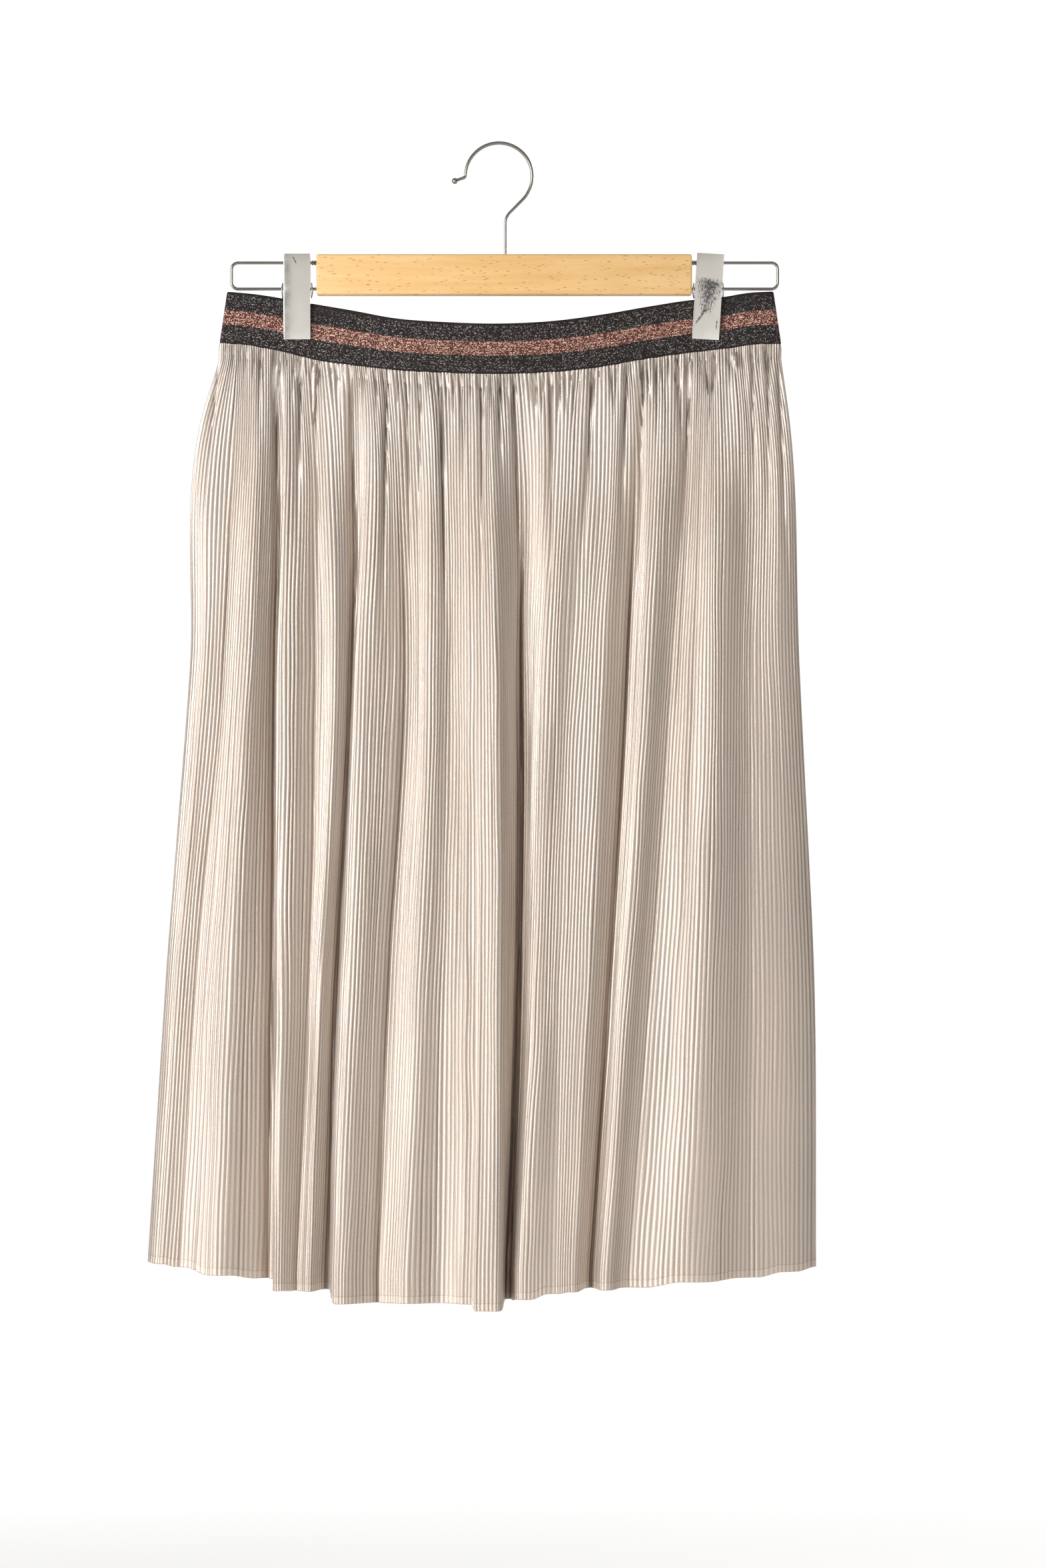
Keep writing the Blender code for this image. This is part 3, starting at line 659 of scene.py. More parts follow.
def make_band():
    """A closed ring: rows down its outside, round its lower edge and up its inside."""
    stations = band_stations(BAND_COLUMNS)
    sections = []
    for facing, rows in ((1.0, range(len(BAND_ROWS))), (-1.0, reversed(range(len(BAND_ROWS))))):
        for row in rows:
            down = BAND_ROWS[row]
            x, y, z = band_line(stations, down)
            plan = np.concatenate([np.stack([x, y], axis=1), np.stack([x, -y], axis=1)[-2:0:-1]])
            height = np.concatenate([z, z[-2:0:-1]])
            around = np.linspace(0.0, 1.0, len(plan))
            ripple = BAND_RIPPLE * down**2 * soft_noise(BAND_SEED, around, 0.5, BAND_RIPPLES, 1)
            out = facing * BAND_WALL / 2 * BAND_FULLNESS[row] + ripple
            placed = plan + wall_normals(plan, closed=True) * out[:, None]
            front = np.arange(len(plan)) < len(stations)
            # Only the front gets the painted shade beside the clips
            turned = clip_painted_shade(plan[:, 0], down) * front
            sections.append((np.column_stack([placed, height]), down, turned))
    count = len(sections[0][0])
    plan = sections[0][0][:, :2]
    steps = np.linalg.norm(plan - np.roll(plan, 1, axis=0), axis=1)
    steps[0] = 0.0
    along = np.cumsum(steps)
    points = np.concatenate([section[0] for section in sections])
    uv = np.concatenate([
        np.column_stack([along, np.full(count, down * BAND_HEIGHT)]) for _, down, _ in sections
    ])
    turned = np.concatenate([section[2] for section in sections])
    faces = []
    for upper in range(len(sections)):
        lower = (upper + 1) % len(sections)
        for left in range(count):
            right = (left + 1) % count
            faces.append((
                upper * count + left,
                lower * count + left,
                lower * count + right,
                upper * count + right,
            ))
    return cloth_object("waistband_elastic", points, faces, uv, turned=turned)


def product(material, first, *others):
    for other in others:
        first = math_node(material, "MULTIPLY", first, other)
    return first


def elastic_finish():
    """Woven rows with a spark of foil yarn in some of their stitches."""
    material, shader = new_finish("lurex_elastic", BLACK_YARN, 0.62, 0.0)
    shader.inputs["Specular IOR Level"].default_value = 0.28
    uv = add_node(material, "UVMap", uv_map="cloth").outputs[0]
    parts = add_node(material, "SeparateXYZ", {"Vector": uv})
    down = math_node(material, "DIVIDE", parts.outputs["Y"], BAND_HEIGHT)
    above = remap(material, down, STRIPE[0] - STRIPE_EDGE, STRIPE[0] + STRIPE_EDGE)
    below = remap(material, down, STRIPE[1] + STRIPE_EDGE, STRIPE[1] - STRIPE_EDGE)
    stripe = math_node(material, "MULTIPLY", above, below)
    cells = add_node(material, "Mapping", {
        "Vector": uv, "Scale": (1 / GLITTER_CELL, 1 / GLITTER_CELL, 1.0)
    })
    sparks = add_node(
        material, "TexVoronoi", {"Vector": cells.outputs[0], "Scale": 1.0, "Randomness": 0.85},
        voronoi_dimensions="2D",
    )
    chance = add_node(material, "SeparateColor", {"Color": sparks.outputs["Color"]})
    in_black = remap(material, chance.outputs[0], *BLACK_CHANCE)
    in_stripe = remap(material, chance.outputs[0], *STRIPE_CHANCE)
    chosen = add_node(material, "Mix", {0: stripe, 2: in_black, 3: in_stripe}).outputs[0]
    round_spark = remap(material, sparks.outputs["Distance"], *SPARK_FADE)
    lit = remap(material, chance.outputs[1], 0.0, 1.0, DIMMEST_SPARK, 1.0)
    rows = math_node(material, "MULTIPLY", parts.outputs["Y"], 2 * math.pi / WEFT_ROW)
    rows = remap(material, math_node(material, "SINE", rows), -1.0, 1.0, BETWEEN_ROWS, 1.0)
    # Painted shade beside the clips: fewer sparks, and the stripe darker
    turned = add_node(material, "Attribute", attribute_name="turned").outputs["Fac"]
    inner = remap(material, down, SELVEDGE * 0.6, SELVEDGE * 1.2)
    outer = remap(material, down, 1 - SELVEDGE * 0.6, 1 - SELVEDGE * 1.2)
    facing = math_node(material, "SUBTRACT", 1.0, turned)
    off_selvedge = product(material, inner, outer, facing)
    spark = product(material, round_spark, chosen, lit, rows, off_selvedge)
    dim_stripe = math_node(material, "MULTIPLY", turned, 0.6)
    yarn = mix_colors(material, stripe, BLACK_YARN, COPPER_YARN)
    yarn = mix_colors(material, dim_stripe, yarn, BLACK_YARN)
    foil = mix_colors(material, stripe, GLITTER, COPPER_GLITTER)
    glow = math_node(material, "MULTIPLY", spark, math_node(material, "ADD", 0.8, stripe))
    weft = add_node(material, "TexWave", {
        "Vector": uv, "Scale": 245.0, "Distortion": 0.6, "Detail": 1.0, "Detail Scale": 3.0
    }, bands_direction="Y")
    warp = add_node(material, "TexWave", {"Vector": uv, "Scale": 330.0}, bands_direction="X")
    weave = math_node(material, "MULTIPLY", weft.outputs["Fac"], warp.outputs["Fac"])
    height = math_node(material, "ADD", weave, math_node(material, "MULTIPLY", spark, 0.5))
    bump = add_node(material, "Bump", {"Strength": 0.5, "Distance": 0.25 * MM, "Height": height})
    link_to(
        material, shader,
        Base_Color=mix_colors(material, math_node(material, "MINIMUM", glow, 1.0), yarn, foil),
        Metallic=math_node(material, "MULTIPLY", spark, 0.55),
        Roughness=remap(material, spark, 0.0, 1.0, 0.72, 0.34),
        Normal=bump.outputs[0],
    )
    return material


band = make_band()
finish_piece(band, elastic_finish(), "elastic", "waistband")


# Skirt panels
# Foil-printed jersey, heat set all over in fine crushed pleats. A front and a back are joined at
# the sides, gathered onto the elastic, and left to fall in deep folds to a narrow hem.
FOLD_HEIGHTS = (-155.0, -193.0, -376.0, -616.0, -808.0)
# The folds from a panel's left seam to its right one: where each is at the five heights, how far
# it stands out or in, how far the cloth rolls over there, and how low its hem is
FOLD_COLUMNS = ("x0", "x1", "x2", "x3", "x4", "depth", "roll", "hem")
FRONT_FOLDS = (
    (-200.2, -212.1, -221.7, -240.0, -252.4, 0.0, 0.0, -804.0),
    (-194.8, -203.6, -212.6, -232.3, -243.8, 3.0, 1.0, -804.5),
    (-187.2, -188.7, -198.2, -218.9, -229.4, -4.0, 1.0, -806.4),
    (-172.8, -173.8, -180.5, -193.4, -200.6, 5.0, 1.0, -811.2),
    (-159.8, -157.9, -161.0, -163.0, -165.6, -14.0, 1.5, -814.1),
    (-151.7, -151.2, -154.1, -155.5, -158.4, 8.0, 1.6, -821.3),
    (-140.6, -137.3, -131.6, -136.3, -144.4, -5.0, 1.0, -821.8),
    (-126.2, -123.8, -117.7, -127.6, -134.8, 5.0, 1.0, -821.8),
    (-105.6, -103.7, -105.0, -116.6, -122.9, -10.0, 1.3, -821.3),
    (-95.0, -92.6, -97.4, -105.7, -112.8, 7.0, 1.5, -830.4),
    (-75.8, -73.4, -67.3, -79.2, -86.4, -8.0, 1.0, -830.4),
    (-56.6, -52.8, -49.4, -57.6, -65.3, 6.0, 1.0, -829.9),
    (-40.3, -37.3, -34.0, -38.2, -41.6, -1.0, 1.0, -829.9),
    (-24.0, -22.0, -19.0, -18.5, -21.0, 7.0, 1.0, -830.2),
    (-18.0, -16.0, -12.0, -12.0, -15.0, 11.0, 1.0, -834.7),
    (-7.0, -6.5, -1.5, 0.0, -1.0, 13.0, 1.0, -834.7),
    (9.6, 13.9, 16.8, 14.9, 7.7, -16.0, 1.3, -828.8),
    (41.8, 42.6, 34.8, 26.8, 17.8, 8.0, 1.4, -827.0),
    (65.8, 64.2, 54.7, 45.2, 40.3, 2.0, 1.0, -823.2),
    (80.2, 81.2, 74.0, 62.6, 53.4, 1.0, 1.0, -822.2),
    (96.6, 98.0, 92.6, 78.8, 66.3, -11.0, 1.4, -820.3),
    (113.8, 113.8, 105.2, 89.8, 76.4, 8.0, 1.6, -820.3),
    (135.4, 135.3, 123.8, 107.8, 93.4, -3.0, 1.0, -819.3),
    (155.2, 154.6, 153.6, 148.7, 140.6, 9.5, 1.0, -815.0),
    (179.0, 182.8, 181.4, 181.9, 179.5, -1.0, 1.0, -813.1),
    (192.0, 197.7, 202.6, 209.4, 209.4, 1.0, 1.0, -809.8),
    (202.9, 208.3, 216.4, 227.5, 228.6, 0.0, 0.0, -807.4),
)
BACK_FOLDS = (
    (-200.2, -212.1, -221.7, -240.0, -252.4, 0.0, 0.0, -804.0),
    (-188.0, -196.0, -204.0, -221.0, -232.0, 5.0, 1.0, -805.0),
    (-168.0, -173.0, -180.0, -194.0, -205.0, -7.0, 1.0, -808.0),
    (-143.0, -148.0, -156.0, -168.0, -176.0, 7.0, 1.2, -813.0),
    (-120.0, -123.0, -128.0, -138.0, -145.0, -12.0, 1.3, -817.0),
    (-96.0, -98.0, -100.0, -108.0, -112.0, 9.0, 1.2, -820.0),
    (-70.0, -71.0, -72.0, -76.0, -80.0, -6.0, 1.0, -824.0),
    (-42.0, -42.0, -44.0, -46.0, -46.0, 10.0, 1.0, -826.0),
    (-16.0, -16.0, -17.0, -18.0, -16.0, -10.0, 1.2, -828.0),
    (10.0, 10.0, 9.0, 10.0, 14.0, 7.0, 1.0, -827.5),
    (36.0, 37.0, 38.0, 40.0, 44.0, -7.0, 1.0, -825.0),
    (62.0, 64.0, 66.0, 70.0, 74.0, 8.0, 1.0, -820.5),
    (88.0, 91.0, 95.0, 101.0, 106.0, -12.0, 1.4, -817.5),
    (112.0, 115.0, 119.0, 125.0, 129.0, 9.0, 1.3, -815.0),
    (138.0, 142.0, 148.0, 156.0, 160.0, -8.0, 1.0, -814.0),
    (164.0, 169.0, 176.0, 186.0, 190.0, 7.0, 1.0, -812.0),
    (184.0, 191.0, 198.0, 208.0, 211.0, -4.0, 1.0, -809.5),
    (202.9, 208.3, 216.4, 227.5, 228.6, 0.0, 0.0, -807.4),
)
# How the panels open on the way down: how far their middle stands off the clips' plane, and how
# much of each fold's depth there is
FALL_COLUMNS = ("down", "reach", "folds")
FALL = (
    (0.0, 12.0, 0.0),
    (0.09, 15.0, 0.30),
    (0.32, 22.0, 0.68),
    (0.66, 29.0, 0.74),
    (1.0, 34.0, 0.76),
)
# The share of the length over which the waist's shape is let go, how quickly the hem passes from
# one fold's level to the next, and how squarely a panel turns at its sides
WAIST_HOLD = 0.24
HEM_STEP = 1.8
SIDE_ROUNDNESS = 2.6
# Creases between the gathers. A row is a crease's x at the seam and at its end, how far down it
# runs, how deep it is and how wide. The cloth sinks into one slowly from its left, and the next
# gather stands out sharply on its right.
FRONT_CREASES = (
    (-200.5, -213.0, 137, 2.0, 3.4),
    (-171.4, -172.8, 75, 2.0, 2.5),
    (-160.0, -158.0, 210, 2.4, 3.0),
    (-142.0, -144.0, 160, 2.2, 3.0),
    (-133.5, -128.6, 170, 2.6, 2.8),
    (-115.7, -115.0, 50, 1.7, 2.2),
    (-106.6, -101.0, 215, 3.2, 3.0),
    (-98.0, -97.0, 50, 1.6, 2.0),
    (-87.8, -89.0, 44, 1.9, 2.4),
    (-79.7, -83.0, 200, 2.7, 2.8),
    (-66.7, -64.0, 190, 2.7, 2.6),
    (-56.2, -58.6, 150, 2.1, 2.4),
    (-47.0, -46.0, 38, 1.5, 2.0),
    (-41.3, -37.0, 205, 3.3, 2.8),
    (-27.8, -24.5, 92, 2.3, 2.6),
    (-12.5, -12.0, 190, 2.5, 3.0),
    (1.4, 1.4, 92, 2.3, 2.6),
    (10.6, 17.0, 175, 3.2, 3.0),
    (26.9, 27.0, 52, 1.9, 2.2),
    (37.4, 37.0, 180, 3.4, 2.8),
    (53.8, 53.8, 52, 1.7, 2.4),
    (68.2, 60.0, 160, 2.9, 2.8),
    (93.0, 88.0, 130, 2.5, 2.6),
    (104.2, 98.0, 185, 3.2, 3.0),
    (113.3, 113.8, 80, 1.8, 2.2),
    (129.0, 133.5, 88, 2.3, 2.6),
    (138.7, 130.0, 175, 3.1, 3.0),
    (157.4, 147.0, 88, 2.3, 2.6),
    (166.6, 166.0, 42, 1.5, 2.2),
    (182.0, 184.0, 124, 2.7, 2.6),
    (194.0, 194.0, 150, 2.1, 2.4),
    (201.0, 208.0, 180, 2.2, 2.6),
)
BACK_CREASES = (
    (-196.0, -207.0, 120, 2.0, 3.0),
    (-176.0, -182.0, 160, 2.4, 2.8),
    (-152.0, -156.0, 90, 2.2, 2.6),
    (-131.0, -135.0, 180, 2.9, 3.0),
    (-118.0, -120.0, 60, 1.8, 2.4),
    (-104.0, -106.0, 140, 2.4, 2.6),
    (-84.0, -83.0, 190, 2.8, 2.8),
    (-62.0, -60.0, 70, 2.0, 2.4),
    (-50.0, -52.0, 150, 2.6, 2.8),
    (-28.0, -26.0, 110, 2.3, 2.6),
    (-7.0, -8.0, 200, 3.1, 3.0),
    (16.0, 17.0, 60, 1.8, 2.2),
    (30.0, 31.0, 170, 2.7, 2.8),
    (52.0, 53.0, 95, 2.2, 2.6),
    (74.0, 77.0, 180, 2.9, 2.8),
    (98.0, 101.0, 80, 2.0, 2.4),
    (108.0, 112.0, 150, 2.5, 2.8),
    (128.0, 132.0, 110, 2.4, 2.6),
    (149.0, 154.0, 190, 2.9, 3.0),
    (170.0, 175.0, 70, 2.0, 2.4),
    (192.0, 200.0, 150, 2.3, 2.8),
)
PLEAT_PITCH = 3.2 * MM
# One pleat in section, from a dip over its crest to the next dip
PLEAT_SECTION = (-1.0, 0.05, 1.0, 0.05)
COLUMNS_A_PLEAT = len(PLEAT_SECTION)
# How high the pleats stand on the way down, and which share of that is left from the middle to
# the right, where they are pressed flatter once they are clear of the gathers
RISE_COLUMNS = ("down", "rise")
RISE = ((0.0, 0.76), (0.16, 0.53), (0.4, 0.53), (1.0, 0.32))
FLATTER_COLUMNS = ("across", "share")
FLATTER = ((0.0, 1.0), (0.5, 1.0), (0.8, 0.75), (1.0, 0.65))
FLATTER_FROM = 0.3
# How far the heights of the pleats differ: in patches, over broad strips, and one from the next
UNEVEN_PATCHES = 0.34
UNEVEN_STRIPS = 0.2
UNEVEN_NEXT = 0.3
UNEVEN_LIMITS = (0.3, 1.7)
# How far the pleats wander sideways, in columns of the mesh: a slow sway and what the gathers add
# to it, a quick quiver, and a fan below the seam. The falls are shares of the panel's length.
SWAY = 1.5
SEAM_SWAY = 2.0
SWAY_FALL = 0.12
QUIVER = 0.7
FAN = 3.4
FAN_FALL = 0.03
HEM_TURN = 5.6 * MM
CLOTH_WALL = 0.6 * MM
CLOTH_ROWS = 94
EDGE_ROW = 0.0009
INNER_STEP = 4
SEAM_GAP = 0.1 * MM
# A crease is this much deeper than its row says, and its slope this many of its widths long.
# The creases of full depth get the darkest painted shade, which keeps to their bottoms.
CREASE_DEEPER = 1.8
CREASE_SLOPE = 2.2
CREASE_EDGE = 0.9 * MM
FULL_CREASE = 2.2
CREASE_NARROWING = 2.4
SLOPE_CURVE = 1.7
# Between the main creases there is a short one to every few stitches, of random length and lean
SHORT_CREASE_STEP = 5.3
SHORT_CREASE_SCATTER = 1.6
SHORT_CREASE_SPREAD = 1.01
SHORT_CREASE_LEAN = 3.5
SHORT_CREASE_LENGTH = (12.0, 48.0)
SHORT_CREASE_DEPTH = (1.2, 2.4)
SHORT_CREASE_WIDTH = (1.0, 1.7)
# A fold's dip is drawn in along its bottom by this share of its depth, from below the gathers
FOLD_CREASE = 0.26
FOLD_CREASE_START = 0.06
FOLD_CREASE_FALL = 0.2
FOLD_CREASE_SLOPE = 8.0 * MM
FOLD_CREASE_EDGE = 1.3 * MM
# The painted shade at the bottom of a fold is full at this depth, and narrows by this power
FULL_FOLD = 9.5 * MM
FOLD_NARROWING = 1.7
# Some dips between two pleats are deeper than the rest for a hand's length, here and there
DEEP_DIP = 1.3 * MM
DEEP_DIP_CHANCE = 0.34
DEEP_DIP_CELLS = 4
DEEP_DIP_SHIFT = 0.07
DEEP_DIP_WAVE = 1.7
# A deep dip is also painted darker by this share, as shade
DEEP_DIP_SHADE = 0.8
SEAM_LAP = 0.4 * MM
FOLD_SAMPLES = 48
EDGE_SAMPLES = 400
CRUMPLE = 0.8 * MM
CRUMPLE_FALL = 0.125
GATHER_RIPPLE = 1.3 * MM
GATHER_FALL = 0.07
# Under the seam the stitches hold the cloth in, and little light gets between the pleats, so the
# dips there are painted dark as shade
SEAM_TUCK = 0.35
SEAM_TUCK_FALL = 0.004
SEAM_CREASE = 0.25
SEAM_CREASE_FALL = 0.008
SEAM_SHADE = 0.8
SEAM_SHADE_FALL = 0.008
# How steeply the wandering and the crumpling stop at a panel's side seams
WANDER_STOP = 30
CRUMPLE_STOP = 60
# How many cells each random pattern has across and down a panel. Each pattern adds a number of its
# own to the panel's seed, so that no two are alike.
SWAY_CELLS = (40, 7)
QUIVER_CELLS = (96, 15)
FAN_CELLS = (62, 1)
NEXT_CELLS = (60, 12)
GATHER_CELLS = (70, 2)
CRUMPLE_CELLS = (34, 5)
CREST_COLOR = (0.715, 0.662, 0.607, 1.0)
# The color of the painted highlight on the crests at the gathers
GATHER_HIGHLIGHT_COLOR = (0.95, 0.91, 0.86, 1.0)
# The dips between the pleats are painted toward this darker color as shade
DIP_SHADE_COLOR = (0.4, 0.3, 0.228, 1.0)
# The color of the painted shade in the creases, fold bottoms and deep dips
PAINTED_SHADE_COLOR = (0.115, 0.064, 0.038, 1.0)
WARM_COLOR = (0.8, 0.67, 0.57, 1.0)
FOIL_ROUGHNESS = (0.3, 0.52)
FOIL_SCALE = (1700.0, 1100.0, 1.0)
KNIT_SCALE = 420.0
# How far the painted glints lighten specks of the foil
GLINT_SHARE = 0.35
WARMEST_PATCH = 0.22
# The crests at the gathers get a painted highlight, which fades to the foil's own color between these
# depths
GATHER_HIGHLIGHT_FALL = (0.11, 0.03)
GATHER_HIGHLIGHT_SHARE = 0.6
HEM_TINT = 0.3
STITCH_SHADE = 0.45
PAINTED_SHADE_SHARE = 0.85
CLOTH_LENGTH = 0.69
FRONT_CUT = (0.67, CLOTH_LENGTH)
BACK_CUT = (0.58, CLOTH_LENGTH)


def share_columns(lengths, total, each):
    """Columns for each length, in proportion and in multiples of each, adding up to the total."""
    shares = np.maximum(1, np.round(total / each * lengths / lengths.sum()).astype(int))
    while shares.sum() != total // each:
        step = 1 if shares.sum() < total // each else -1
        shares[np.argmax(step * (lengths / shares))] += step
    return shares * each


def lower_edge():
    """The waistband's lower edge: x, how far it stands off the middle, and z."""
    x, y, z = band_line(band_stations(EDGE_SAMPLES), 1.0)
    return x, -y, z


def fold_blocks(x, rolls, depths, down, edge):
    """A panel's front in plan at one height: a block of samples between each pair of folds.

    Between two folds x swings past both by their rolls while the depth eases from one to the
    other, so the cloth rolls over.
    """
    u = np.linspace(0.0, 1.0, FOLD_SAMPLES + 1)
    ease = 3 * u**2 - 2 * u**3
    swing = np.gradient(x) * rolls
    left, right = x[0], x[-1]
    middle, half = (left + right) / 2, (right - left) / 2
    fall = column(FALL, FALL_COLUMNS, "down")
    reach = smooth_through(fall, column(FALL, FALL_COLUMNS, "reach") * MM, down)
    share = smooth_through(fall, column(FALL, FALL_COLUMNS, "folds"), down)
    held = max(0.0, 1 - down / WAIST_HOLD)
    held = held**2 * (3 - 2 * held)
    edge_x, edge_depth, _ = edge
    blocks = []
    for k in range(len(x) - 1):
        run = (
            x[k]
            + (x[k + 1] - x[k]) * ease
            + swing[k] * (u - 2 * u**2 + u**3)
            + swing[k + 1] * (u**3 - u**2)
        )
        across = (run - middle) / half
        at_waist = edge_x[0] + (edge_x[-1] - edge_x[0]) * (across + 1) / 2
        waist_depth = np.interp(at_waist, edge_x, edge_depth)
        full_depth = reach * np.sqrt(np.clip(1 - np.abs(across) ** SIDE_ROUNDNESS, 0.0, 1.0))
        fold = (depths[k] + (depths[k + 1] - depths[k]) * ease) * share
        depth = held * waist_depth + (1 - held) * full_depth + fold + SEAM_GAP / 2
        blocks.append(np.column_stack([run, -depth]))
    return blocks


def evenly_along(block, count):
    """A block of samples cut into count equal lengths."""
    steps = np.linalg.norm(np.diff(block, axis=0), axis=1)
    along = np.concatenate([[0.0], np.cumsum(steps)])
    places = np.linspace(0.0, along[-1], count + 1)
    return np.column_stack([np.interp(places, along, block[:, axis]) for axis in range(2)])


def cloth_rows():
    """Places down a panel, from 0 to 1: closer together at the gathers, and close at its edges."""
    even = np.linspace(0.0, 1.0, CLOTH_ROWS + 1)
    rows = even * (0.5 + 0.5 * even)
    return np.concatenate([[0.0, EDGE_ROW], rows[1:-1], [1 - EDGE_ROW, 1.0]])


def panel_middle(folds, rows, pleats):
    """The middle of a panel's wall, row by row, as x, y and z, and the column of each fold."""
    heights = -np.array(FOLD_HEIGHTS) * MM
    places = np.array([column(folds, FOLD_COLUMNS, f"x{k}") for k in range(len(heights))]) * MM
    rolls = column(folds, FOLD_COLUMNS, "roll")
    depths = column(folds, FOLD_COLUMNS, "depth") * MM
    hems = column(folds, FOLD_COLUMNS, "hem") * MM
    edge = lower_edge()
    seams = np.interp(places[0], edge[0], edge[2]) + SEAM_LAP
    plans = []
    for down in rows:
        depth_below = -(seams + (hems - seams) * down)
        x = np.array([
            smooth_through(heights, places[:, k], depth_below[k]) for k in range(len(folds))
        ])
        plans.append(fold_blocks(x, rolls, depths, down, edge))
    lengths = np.array([
        [np.linalg.norm(np.diff(block, axis=0), axis=1).sum() for block in blocks]
        for blocks in plans
    ]).mean(axis=0)
    shares = share_columns(lengths, pleats * COLUMNS_A_PLEAT, COLUMNS_A_PLEAT)
    hem = [hems[:1]]
    for k, share in enumerate(shares):
        u = np.linspace(0.0, 1.0, share + 1)[1:]
        u = np.clip((u - 0.5) * HEM_STEP + 0.5, 0.0, 1.0)
        hem.append(hems[k] + (hems[k + 1] - hems[k]) * (3 * u**2 - 2 * u**3))
    hem = np.concatenate(hem)
    lines = []
    for blocks in plans:
        even = [evenly_along(block, share) for block, share in zip(blocks, shares)]
        lines.append(np.concatenate([even[0][:1]] + [block[1:] for block in even]))
    seam = np.interp(lines[0][:, 0], edge[0], edge[2]) + SEAM_LAP
    middle = [np.column_stack([line, seam + (hem - seam) * down]) for line, down in zip(lines, rows)]
    return middle, np.concatenate([[0], np.cumsum(shares)])


def off_seams(across, steepness):
    """From 0 at a panel's side seams to 1 a little way in from them."""
    return np.clip(np.minimum(across, 1 - across) * steepness, 0.0, 1.0)


def wandered(row, down, seed):
    """The row's points moved along it, so that the pleats wander, and how far along each then is."""
    count = len(row)
    across = np.linspace(0.0, 1.0, count)
    sway = SWAY + SEAM_SWAY * math.exp(-down / SWAY_FALL)
    shift = sway * soft_noise(seed, across, down, *SWAY_CELLS)
    shift += QUIVER * soft_noise(seed + 1, across, down, *QUIVER_CELLS)
    fan = FAN * math.exp(-down / FAN_FALL)
    shift += fan * soft_noise(seed + 6, across, 0.5, *FAN_CELLS)
    shift *= off_seams(across, WANDER_STOP)
    index = np.clip(np.arange(count) + shift, 0, count - 1)
    moved = [np.interp(index, np.arange(count), row[:, axis]) for axis in range(3)]
    return np.column_stack(moved), index


def sharp_dip(offset, slope, edge):
    """From 0 to 1: a slow ramp in from the left, and a sharp way out on the right."""
    ramp = np.clip(1 + offset / slope, 0.0, 1.0) ** SLOPE_CURVE
    return np.where(offset < 0, ramp, np.exp(-((offset / edge) ** 2)))


def crease_depth(creases, x, fallen):
    """How far the creases draw a row in, and the painted shade at their bottoms, this far below the
    seam.
    """
    drawn = np.zeros(len(x))
    recess = np.zeros(len(x))
    for x_top, x_end, length, depth, width in creases:
        run = fallen / (length * MM)
        if run >= 1:
            continue
        centre = (x_top + (x_end - x_top) * run) * MM
        # It is shallower right under the seam, and dies away toward its end
        fade = min(1.0, 0.6 + 4 * run) * (1 - run**2) ** 1.5
        dip = fade * sharp_dip(x - centre, CREASE_SLOPE * width * MM, CREASE_EDGE)
        drawn += CREASE_DEEPER * depth * MM * dip
        recess = np.maximum(recess, min(1.0, depth / FULL_CREASE) * dip**CREASE_NARROWING)
    return drawn, recess


def with_short_creases(creases, seed):
    """The creases, and the short ones between them all along the seam."""
    chance = np.random.default_rng(seed)
    tops = np.arange(creases[0][0], creases[-1][0], SHORT_CREASE_STEP)
    tops = tops + chance.uniform(-SHORT_CREASE_SCATTER, SHORT_CREASE_SCATTER, len(tops))
    leans = chance.uniform(-SHORT_CREASE_LEAN, SHORT_CREASE_LEAN, len(tops))
    ends = tops * SHORT_CREASE_SPREAD + leans
    sizes = [
        chance.uniform(*limits, len(tops))
        for limits in (SHORT_CREASE_LENGTH, SHORT_CREASE_DEPTH, SHORT_CREASE_WIDTH)
    ]
    return list(creases) + list(zip(tops, ends, *sizes))


def fold_crease_depth(folds, fold_columns, along, down):
    """How far the bottoms of the deep folds are drawn in along a row, and the painted shade there."""
    drawn = np.zeros(len(along))
    recess = np.zeros(len(along))
    share = min(1.0, max(0.0, down - FOLD_CREASE_START) / FOLD_CREASE_FALL)
    for centre, depth in zip(fold_columns, column(folds, FOLD_COLUMNS, "depth") * MM):
        if depth < 0:
            offset = (along - centre) * PLEAT_PITCH / COLUMNS_A_PLEAT
            dip = share * sharp_dip(offset, FOLD_CREASE_SLOPE, FOLD_CREASE_EDGE)
            drawn -= FOLD_CREASE * depth * dip
            recess = np.maximum(recess, min(1.0, -depth / FULL_FOLD) * dip**FOLD_NARROWING)
    return drawn, recess


def pleat_rise(count, down, seed):
    """How far each column stands out, with its pleat's own height, and its place in the pleat."""
    across = np.linspace(0.0, 1.0, count)
    rise = np.interp(
        down, column(RISE, RISE_COLUMNS, "down"), column(RISE, RISE_COLUMNS, "rise") * MM
    )
    crest = np.array(PLEAT_SECTION)[np.arange(count) % COLUMNS_A_PLEAT]
    uneven = 1 + UNEVEN_PATCHES * soft_noise(seed + 2, across, down, count // 5, 9)
    uneven += UNEVEN_STRIPS * soft_noise(seed + 3, across, down, count // 30, 4)
    odd = np.where(np.arange(count) // COLUMNS_A_PLEAT % 2, 1.0, -1.0)
    uneven += UNEVEN_NEXT * odd * soft_noise(seed + 7, across, down, *NEXT_CELLS)
    flatter = np.interp(
        across, column(FLATTER, FLATTER_COLUMNS, "across"), column(FLATTER, FLATTER_COLUMNS, "share")
    )
    flatter = 1 + (flatter - 1) * min(1.0, down / FLATTER_FROM)
    return rise * flatter * crest * np.clip(uneven, *UNEVEN_LIMITS), crest


